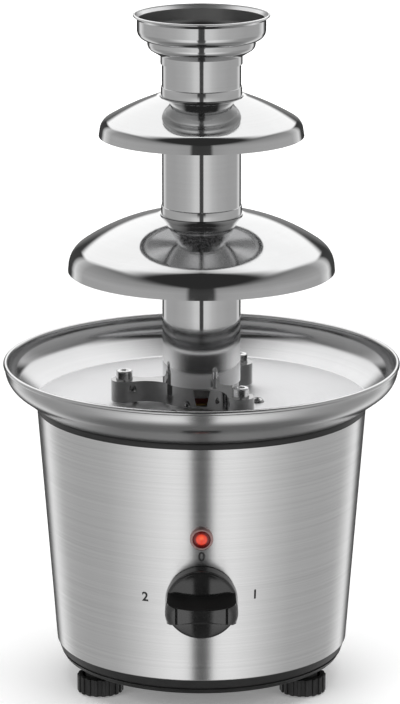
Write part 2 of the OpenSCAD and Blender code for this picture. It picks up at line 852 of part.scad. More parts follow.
module nested_tube(mouth_z, top) {
    collar_top_z = mouth_z + collar_up;
    nest_end = acos((collar_r - mouth_c) / nest_r);
    foot_z = mouth_z - nose_l;
    neck_z = mouth_z + mouth_r;
    rotate_extrude()
        polygon(concat(
            [[nose_inner_r, foot_z], [nose_r, foot_z]],
            arc([mouth_c, mouth_z], nest_r, 180, nest_end, 6),
            [[collar_r, collar_top_z], [tube_r, collar_top_z + collar_proud]],
            top,
            [[tube_inner_r, neck_z + tube_sheet * 4], [nose_inner_r, neck_z]]));
}

module upper_tube() {
    color("#d6d7d9")
        nested_tube(lower_mouth_z, [[tube_r, upper_mouth_z + tube_bevel], [tube_inner_r, upper_mouth_z]]);
}

module crown_tube() {
    color("#d6d7d9")
        nested_tube(upper_mouth_z, [[tube_r, crown_top_z], [tube_inner_r, crown_top_z]]);
}

// Spun dome: the rolled mouth, the dome and the shoulder are arcs that run smoothly into each other
module spun_canopy(mouth_z, edge_r, skirt, flare, rise, shoulder_r, dome_r) {
    skirt_r = edge_r - flare;
    skirt_z = mouth_z + mouth_r - rise;
    mouth = [mouth_c, mouth_z];
    a = dome_r - mouth_r;
    b = dome_r - shoulder_r;
    across = [skirt_r - shoulder_r, skirt_z] - mouth;
    l = norm(across);
    turn = atan2(across[1], across[0]);
    dome_end = turn + acos((b * b + l * l - a * a) / (2 * b * l));
    dome_start = atan2(b * sin(dome_end) - across[1], b * cos(dome_end) - across[0]);
    dome = mouth - a * [cos(dome_start), sin(dome_start)];
    shoulder = dome + b * [cos(dome_end), sin(dome_end)];
    path = concat(
        [[eyelet_r, mouth_z - eyelet_l]],
        arc(mouth, mouth_r, 180, dome_start),
        arc(dome, dome_r, dome_start, dome_end),
        arc(shoulder, shoulder_r, dome_end, 0),
        [[edge_r, skirt_z - skirt]]);
    smooth = [for (i = [0:len(path) - 1]) if (i == 0 || norm(path[i] - path[i - 1]) > 0.01) path[i]];
    rotate_extrude()
        polygon(sheet(smooth, -canopy_sheet));
}

module lower_canopy() {
    color("#dcdde0")
        spun_canopy(lower_mouth_z, lower_edge_r, lower_skirt, lower_flare,
            lower_rise, lower_shoulder_r, lower_dome_r);
}

module upper_canopy() {
    color("#dcdde0")
        spun_canopy(upper_mouth_z, upper_edge_r, upper_skirt, upper_flare,
            upper_rise, upper_shoulder_r, upper_dome_r);
}

// Crown cup: a neck on the tube, a stepped foot and a turned lip

module crown_cup() {
    foot = touch_angle([neck_r, neck_top_z], cup_foot_curve, cup_foot_curve_r);
    path = concat(
        [[neck_r, neck_z], [neck_r, neck_top_z]],
        arc(cup_foot_curve, cup_foot_curve_r, foot, 0, 6),
        [[riser_r, riser_z + riser_h]],
        arc(cup_curve, cup_curve_r, -step_turn, 0),
        [[cup_r, cup_wall_z], [cup_r + lip_flare, cup_wall_z + lip_rise]]);
    color("#d0d1d3")
        rotate_extrude() {
            polygon(sheet(path, cup_sheet));
            translate(lip_bead)
                circle(r = lip_bead_r);
        }
}

// Lifting screw: a helical blade on a core, driven by a hexagon socket in its hub

module auger() {
    blade_r = bore_r - blade_gap;
    blade_z = screw_z + 1.2;
    blade_l = crown_top_z - blade_down - blade_z;
    tip = sqrt(blade_r * blade_r - blade_w * blade_w / 4);
    nose = core_r / 2;
    core_top_z = blade_z + blade_l + nose;
    color("#e4e2dc")
        difference() {
            union() {
                translate([0, 0, blade_z])
                    linear_extrude(height = blade_l, twist = -360 * blade_l / blade_pitch,
                        slices = round(blade_l / blade_pitch * 24), segments = 12)
                        translate([0, -blade_w / 2])
                            square([tip, blade_w]);
                rotate_extrude()
                    polygon([
                        [0, screw_z],
                        [screw_hub_r, screw_z],
                        [screw_hub_r, screw_z + screw_hub_h - (screw_hub_r - core_r)],
                        [core_r, screw_z + screw_hub_h],
                        [core_r, core_top_z - nose],
                        [core_r - nose, core_top_z],
                        [0, core_top_z]
                    ]);
            }
            translate([0, 0, screw_z - 1])
                cylinder(r = hex_r + run_fit / cos(30), h = hex_l + slide_gap + 1, $fn = 6);
        }
}

// Drive: hexagon-ended shaft, bushes, gears, motor

module drive_shaft() {
    color("#bfc0c2")
        difference() {
            union() {
                translate([0, 0, shaft_z])
                    cylinder(r = shaft_r, h = shoulder_z - shaft_z);
                translate([0, 0, shoulder_z])
                    cylinder(r = hex_r, h = hex_l, $fn = 6);
            }
            tube_between(shaft_r + 1, clip_groove_r, clip_z, clip_z + clip_h);
        }
}

module shaft_clip() {
    mouth_w = clip_groove_r * 1.2;
    color("#8f9092")
        difference() {
            tube_between(clip_r, clip_groove_r, clip_z + seat_gap, clip_z + clip_h - seat_gap);
            translate([0, -mouth_w / 2, clip_z - 1])
                cube([clip_r + 1, mouth_w, clip_h + 2]);
        }
}

module shaft_bush() {
    color("#9a7b45")
        rotate_extrude()
            polygon([
                [bush_bore_r, bowl_under_z - bush_l],
                [bush_r, bowl_under_z - bush_l],
                [bush_r, bowl_top_z],
                [bush_flange_r, bowl_top_z],
                [bush_flange_r, bush_top_z],
                [bush_bore_r, bush_top_z]
            ]);
}

module bush_nut() {
    color("#b5b6b8")
        translate([0, 0, bowl_under_z - bush_nut_h])
            hex_nut(bush_nut_r, bush_r + seat_gap, bush_nut_h);
}

module shaft_seal() {
    color("#6d2f24")
        tube_between(seal_r, bush_bore_r, bush_top_z, seal_top_z);
}

module standoffs() {
    color("#b9b9b4")
        ring_of(three, standoff_circle_r)
            tube_between(standoff_r, screw_r + seat_gap, plate_top_z, bowl_under_z);
}

module at_motor() {
    rotate(motor_dir)
        translate([gear_distance, 0, 0])
            children();
}

module motor_plate() {
    color("#a9aaac")
        translate([0, 0, plate_z])
            difference() {
                linear_extrude(height = plate_t) {
                    circle(r = plate_r);
                    at_motor()
                        circle(r = motor_r + 2);
                }
                translate([0, 0, -1])
                    cylinder(r = plate_bush_r + seat_gap, h = plate_t + 2);
                ring_of(three, standoff_circle_r)
                    translate([0, 0, -1])
                        cylinder(r = screw_r + seat_gap, h = plate_t + 2);
                at_motor()
                    translate([0, 0, -1]) {
                        cylinder(r = motor_boss_r + seat_gap, h = plate_t + 2);
                        for (y = [-motor_screw_out, motor_screw_out])
                            translate([0, y, 0])
                                cylinder(r = motor_screw_r + seat_gap, h = plate_t + 2);
                    }
            }
}

module plate_screws() {
    color("#9b9c9e")
        ring_of(three, standoff_circle_r)
            translate([0, 0, plate_z])
                mirror([0, 0, 1])
                    domed_screw(screw_head_r, screw_head_h, screw_r, standoff_h / 3);
}

module plate_bush() {
    color("#9a7b45")
        rotate_extrude()
            polygon([
                [bush_bore_r, plate_bush_z],
                [plate_bush_r, plate_bush_z],
                [plate_bush_r, plate_top_z],
                [plate_bush_flange_r, plate_top_z],
                [plate_bush_flange_r, plate_top_z + plate_bush_flange_h],
                [bush_bore_r, plate_top_z + plate_bush_flange_h]
            ]);
}

// Involute gear outline: flank points from the root to the tip of each tooth
function involute(a) = tan(a) * 180 / PI - a;
function half_tooth(r, pitch_r, teeth) =
    let (base_circle_r = pitch_r * cos(pressure_angle))
    90 / teeth - backlash / 4 / pitch_r * 180 / PI + involute(pressure_angle)
        - involute(acos(min(1, base_circle_r / r)));

module gear_outline(teeth) {
    pitch_r = gear_module * teeth / 2;
    tip_r = pitch_r + 0.7 * gear_module;
    root_r = pitch_r - gear_module;
    flank_r = max(pitch_r * cos(pressure_angle), root_r);
    radii = [for (i = [0:3]) flank_r + (tip_r - flank_r) * i / 3];
    tooth = concat(
        [[root_r, -half_tooth(flank_r, pitch_r, teeth)]],
        [for (r = radii) [r, -half_tooth(r, pitch_r, teeth)]],
        [for (i = [3:-1:0]) [radii[i], half_tooth(radii[i], pitch_r, teeth)]],
        [[root_r, half_tooth(flank_r, pitch_r, teeth)]]);
    outline = [for (k = [0:teeth - 1], p = tooth) let (a = p[1] + 360 * k / teeth) p[0] * [cos(a), sin(a)]];
    polygon([for (i = [0:len(outline) - 1])
        if (norm(outline[i] - outline[(i + 1) % len(outline)]) > 0.005) outline[i]]);
}

module drive_gear() {
    web_h = gear_w / 3;
    rim_r = gear_r - 3;
    hub_r = shaft_r + 4;
    hole_r = (rim_r - hub_r) * 0.36;
    color("#e8e4d6")
        translate([0, 0, gear_z])
            difference() {
                rotate(motor_dir)
                    linear_extrude(height = gear_w)
                        gear_outline(gear_teeth);
                translate([0, 0, web_h])
                    tube_between(rim_r, hub_r, 0, gear_w);
                translate([0, 0, -1])
                    cylinder(r = shaft_r + seat_gap, h = gear_w + 2);
                ring_of([0:60:300], (rim_r + hub_r) / 2)
                    translate([0, 0, -1])
                        cylinder(r = hole_r, h = gear_w + 2);
            }
}

module motor_pinion() {
    color("#b08d3c")
        at_motor()
            translate([0, 0, gear_z])
                difference() {
                    rotate(180 + 180 / pinion_teeth)
                        linear_extrude(height = gear_w)
                            gear_outline(pinion_teeth);
                    translate([0, 0, -1])
                        cylinder(r = motor_shaft_r + seat_gap, h = gear_w + 2);
                }
}

module motor_shaft() {
    color("#bfc0c2")
        at_motor()
            translate([0, 0, plate_z - motor_l + 3])
                cylinder(r = motor_shaft_r, h = gear_z + gear_w - plate_z + motor_l - 3);
}

module motor_can() {
    edge = 2;
    tail_r = motor_r * 0.4;
    can_z = plate_z - motor_l;
    color("#8c8d90")
        at_motor()
            rotate_extrude()
                polygon([
                    [0, can_z - edge],
                    [tail_r, can_z - edge],
                    [tail_r, can_z],
                    [motor_r - edge, can_z],
                    [motor_r, can_z + edge],
                    [motor_r, plate_z],
                    [motor_boss_r, plate_z],
                    [motor_boss_r, plate_z + motor_boss_h],
                    [motor_shaft_r + run_fit, plate_z + motor_boss_h],
                    [motor_shaft_r + run_fit, can_z + 3 - slide_gap],
                    [0, can_z + 3 - slide_gap]
                ]);
}

module motor_screws() {
    head_r = motor_screw_r + 1.1;
    color("#9b9c9e")
        at_motor()
            for (y = [-motor_screw_out, motor_screw_out])
                translate([0, y, plate_top_z])
                    domed_screw(head_r, motor_screw_r, motor_screw_r, plate_t);
}

// Heater: a cast plate under the bowl with a tubular element in its groove

module element_path() {
    rotate(-90 + (360 - element_sweep) / 2)
        rotate_extrude(angle = element_sweep)
            translate([element_circle_r, 0])
                children();
}

module heat_plate() {
    under = heat_plate_t + seat_gap;
    top = [for (r = [heat_inner_r, bowl_flat_r, heat_outer_r]) [r, under_bowl(r) - seat_gap]];
    color("#a4a5a6")
        difference() {
            rotate_extrude()
                polygon(concat([[heat_outer_r, heat_z], [heat_inner_r, heat_z]], top));
            translate([0, 0, heat_z])
                rotate_extrude()
                    translate([element_circle_r, 0])
                        circle(r = element_groove_r);
            ring_of(three, tie_circle_r)
                translate([0, 0, heat_z - 1])
                    cylinder(r = tie_r + seat_gap, h = under);
        }
}

module heating_element() {
    pin_r = element_r * 0.4;
    pin_l = 14;
    half_gap = (360 - element_sweep) / 2;
    color("#6e6f72")
        union() {
            translate([0, 0, heat_z])
                element_path()
                    circle(r = element_r);
            for (a = [-90 - half_gap - 3, -90 + half_gap + 3])
                rotate(a)
                    translate([element_circle_r, 0, heat_z - pin_l])
                        cylinder(r = pin_r, h = pin_l);
        }
}

module thermostat() {
    cap_r = thermostat_r * 0.6;
    color("#d8cfc0")
        rotate(-90)
            translate([element_circle_r, 0, heat_z - thermostat_h])
                union() {
                    cylinder(r = thermostat_r, h = thermostat_h - seat_gap);
                    translate([0, 0, -2])
                        cylinder(r = cap_r, h = 3);
                }
}

module thermal_fuse() {
    fuse_r = 2;
    fuse_l = 12;
    color("#c8b58a")
        rotate(60)
            translate([tie_circle_r, -fuse_l / 2, heat_z - fuse_r - seat_gap])
                rotate([-90, 0, 0])
                    cylinder(r = fuse_r, h = fuse_l);
}

module tie_rods() {
    color("#b9b9b4")
        ring_of(three, tie_circle_r)
            translate([0, 0, tie_end_z])
                cylinder(r = tie_r, h = tie_top_z - tie_end_z);
}

module tie_rod_nuts() {
    color("#9b9c9e")
        ring_of(three, tie_circle_r)
            translate([0, 0, tie_seat_z - tie_nut_h])
                hex_nut(tie_nut_r, tie_r + seat_gap, tie_nut_h);
}

// Controls on the housing's front, and the cord gland at its back

// Centre of the knob's rounded edge of radius r, where it meets a bulging face of height h
function edge_centre(h, r) =
    [knob_r - r, h - knob_face_r + sqrt(pow(knob_face_r - r, 2) - pow(knob_r - r, 2))];

// Outline of that edge and that face, from the knob's side to its axis
function bulging_end(h, r) =
    let (
        edge = edge_centre(h, r),
        face = [0, h - knob_face_r],
        turn = atan2(edge[1] - face[1], edge[0]),
        face_step = (90 - turn) / 6)
    concat(arc(edge, r, 0, turn, 6), arc(face, knob_face_r, turn + face_step, 90, 5));

// Knob's grip: turned ends, and hollow sides that lean in towards the front
module knob_grip() {
    sag = (grip_end_w - grip_waist_w) / 2;
    waist_r = (knob_r * knob_r + sag * sag) / (2 * sag);
    foot_z = edge_centre(skirt_h, skirt_edge_r)[1];
    difference() {
        rotate_extrude()
            polygon(concat([[0, foot_z], [knob_r, foot_z]], bulging_end(knob_h, grip_corner_r)));
        for (s = [-1, 1])
            translate([0, s * grip_waist_w / 2, knob_h])
                rotate([s * grip_draft, 0, 0])
                    translate([0, s * waist_r, 0])
                        cylinder(r = waist_r, h = 4 * knob_h, center = true, $fn = 360);
    }
}

// Spindle with one flat, the same for the shaft and for the bore that it goes into
module flatted_shaft(r, z0, z1) {
    flat_depth = spindle_r * 0.25;
    difference() {
        translate([0, 0, z0])
            cylinder(r = r, h = z1 - z0);
        translate([-r - 1, spindle_r - flat_depth + (r - spindle_r), neck_out + 1])
            cube([2 * r + 2, r, z1]);
    }
}

module knob() {
    cavity_r = knob_r - skirt_wall;
    hub_r = spindle_r + 2.6;
    bore_top = knob_h - knob_bore_cover;
    color("#1d1d1f")
        on_front(knob_z)
            difference() {
                union() {
                    rotate_extrude()
                        polygon(concat(
                            [[0, knob_back], [knob_r, knob_back]],
                            bulging_end(skirt_h, skirt_edge_r)));
                    knob_grip();
                }
                difference() {
                    translate([0, 0, knob_back - 1])
                        cylinder(r = cavity_r, h = knob_cavity_h - knob_back + 1);
                    translate([0, 0, neck_out + 2 * slide_gap])
                        cylinder(r = hub_r, h = knob_cavity_h);
                }
                flatted_shaft(spindle_r + seat_gap, neck_out - 1, bore_top);
            }
}

module switch_spindle() {
    color("#c9c3b0")
        on_front(knob_z)
            flatted_shaft(spindle_r, slide_gap - switch_bore_l, knob_h - knob_bore_cover - seat_gap);
}

module selector_switch() {
    tab = [1, 5, 7];
    back = switch_face + switch_l;
    color("#3a3330")
        on_front(knob_z)
            difference() {
                union() {
                    rotate_extrude()
                        polygon([
                            [0, -back],
                            [switch_r, -back],
                            [switch_r, -switch_face],
                            [switch_boss_r, -switch_face],
                            [switch_boss_r, -switch_boss],
                            [switch_neck_r, -switch_boss],
                            [switch_neck_r, neck_out],
                            [0, neck_out]
                        ]);
                    for (a = [0:90:270])
                        rotate(a)
                            translate([switch_r * 0.65, -tab[1] / 2, -back - tab[2]])
                                cube([tab[0], tab[1], tab[2] + 1]);
                }
                translate([0, 0, -switch_bore_l])
                    cylinder(r = spindle_r + run_fit, h = switch_bore_l + neck_out + 1);
            }
}

module switch_nut() {
    color("#b5b6b8")
        on_front(knob_z)
            translate([0, 0, seat_gap])
                hex_nut(nut_r, switch_neck_r + seat_gap, nut_h);
}

module lamp_bezel() {
    edge = 0.6;
    color("#c9cacc")
        on_front(lamp_z)
            rotate_extrude()
                polygon([
                    [lens_r + seat_gap, -sleeve_l],
                    [sleeve_r, -sleeve_l],
                    [sleeve_r, seat_gap],
                    [bezel_r, seat_gap],
                    [bezel_r, bezel_h - edge],
                    [bezel_r - edge, bezel_h],
                    [lens_r + seat_gap, bezel_h]
                ]);
}

module lamp_lens() {
    dome = 1.2;
    dome_r = (lens_r * lens_r + dome * dome) / (2 * dome);
    face = bezel_h - 0.6;
    color("#e2331c")
        on_front(lamp_z)
            rotate_extrude()
                polygon(concat(
                    [[0, -sleeve_l], [lens_r, -sleeve_l]],
                    arc([0, face + dome - dome_r], dome_r, acos(lens_r / dome_r), 90, 6)));
}

module lamp_holder() {
    cup_l = 9;
    body_l = 20;
    tab = [0.8, 4, 6];
    color("#e9e4d8")
        on_front(lamp_z)
            union() {
                rotate_extrude()
                    polygon([
                        [sleeve_r + seat_gap, -holder_face],
                        [sleeve_r + seat_gap, -sleeve_l - seat_gap],
                        [0, -sleeve_l - seat_gap],
                        [0, -body_l],
                        [sleeve_r, -body_l],
                        [sleeve_r, -cup_l],
                        [holder_r, -cup_l],
                        [holder_r, -holder_face]
                    ]);
                for (x = [-sleeve_r / 2, sleeve_r / 2])
                    translate([x - tab[0] / 2, -tab[1] / 2, -body_l - tab[2]])
                        cube([tab[0], tab[1], tab[2] + 1]);
            }
}

module cord_gland() {
    color("#1b1b1d")
        on_back(gland_z)
            rotate_extrude()
                polygon([
                    [gland_bore_r, -gland_face - gland_flange_h],
                    [gland_flange_r, -gland_face - gland_flange_h],
                    [gland_flange_r, -gland_face],
                    [gland_neck_r, -gland_face],
                    [gland_neck_r, seat_gap],
                    [gland_flange_r, seat_gap],
                    [gland_bore_r + 1, gland_flange_h * 2],
                    [gland_bore_r, gland_flange_h * 2]
                ]);
}

module terminal_block() {
    poles = 3;
    pole_w = 9;
    block_d = 11;
    block_h = 12;
    wire_r = 2;
    color("#ece8dd")
        translate([-poles * pole_w / 2, foot_circle_r - foot_boss_r - terminal_gap - block_d, base_floor_z])
            difference() {
                cube([poles * pole_w, block_d, block_h]);
                for (i = [0:poles - 1])
                    translate([(i + 0.5) * pole_w, 0, 0]) {
                        translate([0, -1, block_h * 0.4])
                            rotate([-90, 0, 0])
                                cylinder(r = wire_r, h = block_d + 2);
                        translate([0, block_d / 2, block_h * 0.6])
                            cylinder(r = wire_r * 1.2, h = block_h);
                    }
            }
}

housing_shell();
bowl();
bowl_gasket();
base_pan();
foot_inserts();
locating_pins();
pin_nuts();
bowl_screws();
standoffs();
motor_plate();
plate_screws();
plate_bush();
motor_can();
motor_screws();
shaft_bush();
bush_nut();
shaft_seal();
heat_plate();
heating_element();
thermostat();
thermal_fuse();
tie_rods();
tie_rod_nuts();
selector_switch();
switch_nut();
lamp_lens();
lamp_bezel();
lamp_holder();
cord_gland();
terminal_block();
drive_shaft();
drive_gear();
shaft_clip();
motor_shaft();
motor_pinion();
auger();
tower_base();
lower_tube();
lower_canopy();
upper_tube();
upper_canopy();
crown_tube();
crown_cup();
knob();
switch_spindle();
front_left_wheel();
front_left_stud();
front_left_pad();
front_right_wheel();
front_right_stud();
front_right_pad();
rear_wheel();
rear_stud();
rear_pad();
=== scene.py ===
import json
import math
import bmesh
import bpy
from mathutils import Matrix, Vector


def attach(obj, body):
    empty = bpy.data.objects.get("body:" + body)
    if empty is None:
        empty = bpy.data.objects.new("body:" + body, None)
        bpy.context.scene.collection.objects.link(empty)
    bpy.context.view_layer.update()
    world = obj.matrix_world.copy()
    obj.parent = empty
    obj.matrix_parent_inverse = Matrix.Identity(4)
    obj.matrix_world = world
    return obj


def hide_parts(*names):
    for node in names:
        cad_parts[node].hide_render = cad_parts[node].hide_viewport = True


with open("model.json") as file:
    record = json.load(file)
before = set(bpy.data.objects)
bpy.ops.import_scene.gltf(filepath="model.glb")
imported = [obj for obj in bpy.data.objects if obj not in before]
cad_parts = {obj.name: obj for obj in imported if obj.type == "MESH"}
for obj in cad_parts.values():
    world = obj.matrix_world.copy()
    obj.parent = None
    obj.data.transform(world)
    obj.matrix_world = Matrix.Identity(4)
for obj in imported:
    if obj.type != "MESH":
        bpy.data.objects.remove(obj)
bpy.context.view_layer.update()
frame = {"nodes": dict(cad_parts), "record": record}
mm = 0.001
weld = 0.002 * mm  # points closer than this become one
sharpFrom = 32  # degrees between two faces that keep their edge sharp
facing = 0.05  # least part of a face's normal that counts as looking that way
bodyOf = {}
for bodyName, members in frame["record"]["behaviour"]["bodies"].items():
    for member in members:
        bodyOf[member] = bodyName
slotOf = {part["node"]: part["material_slot"] for part in frame["record"]["subparts"]}
dressed = set()
print("frame loaded:", len(frame["nodes"]), "nodes")


# Node trees: a socket that takes part in sums, and one way to add any other node

class Wire:
    def __init__(self, tree, socket=None):
        self.tree = tree
        self.socket = socket

    def node(self, kind, settings=None, sockets=None, output=0):
        made = self.tree.nodes.new(kind)
        for key, value in (settings or {}).items():
            if key == "stops":
                paintRamp(made.color_ramp, value)
            else:
                setattr(made, key, value)
        for key, value in (sockets or {}).items():
            if isinstance(value, Wire):
                self.tree.links.new(value.socket, made.inputs[key])
            else:
                made.inputs[key].default_value = value
        return Wire(self.tree, made.outputs[output])

    def math(self, operation, left, right=0.0):
        return self.node("ShaderNodeMath", {"operation": operation}, {0: left, 1: right})

    def __add__(self, other):
        return self.math("ADD", self, other)

    def __radd__(self, other):
        return self.math("ADD", other, self)

    def __sub__(self, other):
        return self.math("SUBTRACT", self, other)

    def __rsub__(self, other):
        return self.math("SUBTRACT", other, self)

    def __mul__(self, other):
        return self.math("MULTIPLY", self, other)

    def __rmul__(self, other):
        return self.math("MULTIPLY", other, self)

    def __truediv__(self, other):
        return self.math("DIVIDE", self, other)

    def __rtruediv__(self, other):
        return self.math("DIVIDE", other, self)

    def __pow__(self, other):
        return self.math("POWER", self, other)

    def hypot(self, other):
        return (self * self + other * other) ** 0.5

    def blended(self, other, amount):
        return self * (1 - amount) + other * amount

    def axes(self):
        split = self.node("ShaderNodeSeparateXYZ", None, {0: self})
        outputs = split.socket.node.outputs
        return [Wire(self.tree, outputs[i]) for i in range(3)]

    def vector(self, x, y, z):
        return self.node("ShaderNodeCombineXYZ", None, {0: x, 1: y, 2: z})

    def stretched(self, x, y, z):
        return self.node("ShaderNodeVectorMath", {"operation": "MULTIPLY"}, {0: self, 1: (x, y, z)})

    def noise(self, scale, detail=3.0, roughness=0.55):
        return self.node("ShaderNodeTexNoise", None,
                         {"Vector": self, "Scale": scale, "Detail": detail, "Roughness": roughness})

    def eased(self, low, high):
        return self.node("ShaderNodeMapRange", {"interpolation_type": "SMOOTHSTEP"},
                         {0: self, 1: low, 2: high, 3: 0.0, 4: 1.0})

    def tinted(self, dark, light):
        return self.node("ShaderNodeMix", {"data_type": "RGBA"}, {0: self, 6: dark, 7: light}, 2)

    def bumped(self, distance):
        return self.node("ShaderNodeBump", None, {"Height": self, "Distance": distance, "Strength": 1.0})


def paintRamp(ramp, stops):
    while len(ramp.elements) < len(stops):
        ramp.elements.new(1.0)
    for element, (place, level) in zip(ramp.elements, stops):
        element.position = place
        element.color = (level, level, level, 1.0)


def grey(level, warmth=0.0):
    return (level * (1 + warmth), level, level * (1 - warmth), 1.0)


def newMaterial(name, fixed):
    material = bpy.data.materials.new(name)
    material.use_nodes = True
    shader = material.node_tree.nodes["Principled BSDF"]
    for key, value in fixed.items():
        shader.inputs[key].default_value = value
    return material, shader, Wire(material.node_tree)


def feed(shader, **wires):
    names = {"colour": "Base Color", "roughness": "Roughness", "metallic": "Metallic", "normal": "Normal",
             "glow": "Emission Color"}
    for key, wire in wires.items():
        shader.id_data.links.new(wire.socket, shader.inputs[names[key]])


def objectCoords(base):
    return base.node("ShaderNodeTexCoord", None, None, "Object")


# Metals

marks = {"tones": (0.3, 0.7), "smudgeTones": (0.42, 0.75), "brushTurn": 0.25, "ringShade": 0.5,
         "smudgeShade": 0.25, "cool": 0.006, "fineShare": 0.65, "broadStretch": 0.6, "grainShare": 0.4}


def latheMarks(base, look):
    # rings round the tower's axis, with smudges over them
    place = objectCoords(base)
    x, y, z = place.axes()
    across = x.hypot(y)
    rings = base.vector(across * look["fine"], z * look["fine"], x * look["along"]).noise(1.0, 2.0)
    smudge = place.noise(look["smudgeScale"], 4.0).eased(*marks["smudgeTones"])
    return rings, smudge, across, z


def turnedSteel(name, look):
    material, shader, base = newMaterial(name, {
        "Metallic": 1.0, "Anisotropic": look["brush"], "Anisotropic Rotation": marks["brushTurn"]})
    rings, smudge, across, z = latheMarks(base, look)
    shade = rings * marks["ringShade"] + smudge * marks["smudgeShade"]
    feed(shader,
         colour=shade.tinted(grey(look["dark"]), grey(look["light"], -marks["cool"])),
         roughness=look["rough"] + rings * look["roughRings"] + smudge * look["roughSmudge"],
         normal=rings.bumped(look["depth"] * mm))
    return material


def brushedSheet(name, look):
    material, shader, base = newMaterial(name, {
        "Metallic": 1.0, "Anisotropic": look["brush"], "Anisotropic Rotation": marks["brushTurn"]})
    place = objectCoords(base)
    along = look["along"]
    fine = place.stretched(along, along, look["fine"]).noise(1.0, 3.0, 0.7)
    along = along * marks["broadStretch"]
    broad = place.stretched(along, along, look["broad"]).noise(1.0, 2.0)
    streaks = broad.blended(fine, marks["fineShare"])
    feed(shader,
         colour=streaks.eased(*marks["tones"]).tinted(grey(look["dark"]), grey(look["light"])),
         roughness=look["rough"] + streaks * look["roughStreaks"],
         normal=fine.bumped(look["depth"] * mm))
    return material


def dishSteel(name, look):
    # the floor is more matt than the polished wall round it; its paler tone is painted reflection in the
    # bowl, and the darkened upper wall is painted shade
    material, shader, base = newMaterial(name, {
        "Anisotropic": look["brush"], "Anisotropic Rotation": marks["brushTurn"]})
    rings, smudge, across, z = latheMarks(base, look)
    floor = 1 - across.eased(look["floorR"] * mm, (look["floorR"] + look["floorEdge"]) * mm)
    grain = rings.blended(smudge, marks["grainShare"])
    # painted shade: the wall is darkened towards its top by wallShade
    upper = z.eased(look["wallLow"] * mm, look["wallHigh"] * mm)
    wallTone = look["wall"] + grain * look["wallGrain"] - upper * look["wallShade"]
    # in the bowl the floor's pale tone is painted reflection; its matt, rough finish is its own
    floorTone = look["floor"] - grain * look["floorGrain"]
    tone = wallTone.blended(floorTone, floor)
    feed(shader,
         colour=base.vector(tone, tone, tone * look["blue"]),
         metallic=1 - floor * look["matt"],
         roughness=(look["rough"] + rings * look["roughRings"] + smudge * look["roughSmudge"]
                    + floor * look["floorRough"]),
         normal=rings.bumped(look["depth"] * mm))
    return material


def plainMetal(name, look):
    material, shader, base = newMaterial(name, {"Metallic": 1.0})
    place = objectCoords(base)
    grain = place.noise(look["grain"], 5.0, 0.65)
    patches = place.noise(look["patches"], 3.0)
    shade = patches.blended(grain, marks["grainShare"])
    feed(shader,
         colour=shade.eased(*marks["tones"]).tinted(look["dark"], look["light"]),
         roughness=look["rough"] + patches * look["roughPatches"],
         normal=grain.bumped(look["depth"] * mm))
    return material


# Mouldings and rubber

def moulded(name, look):
    material, shader, base = newMaterial(name, {"IOR": 1.5, "Specular IOR Level": look.get("shine", 0.5)})
    place = objectCoords(base)
    pores = place.noise(look["pores"], 4.0, 0.6)
    drift = place.noise(look["drift"], 2.0)
    feed(shader,
         colour=((pores + drift) / 2).eased(*marks["tones"]).tinted(look["dark"], look["light"]),
         roughness=look["rough"] + drift * look["roughDrift"],
         normal=pores.bumped(look["depth"] * mm))
    return material


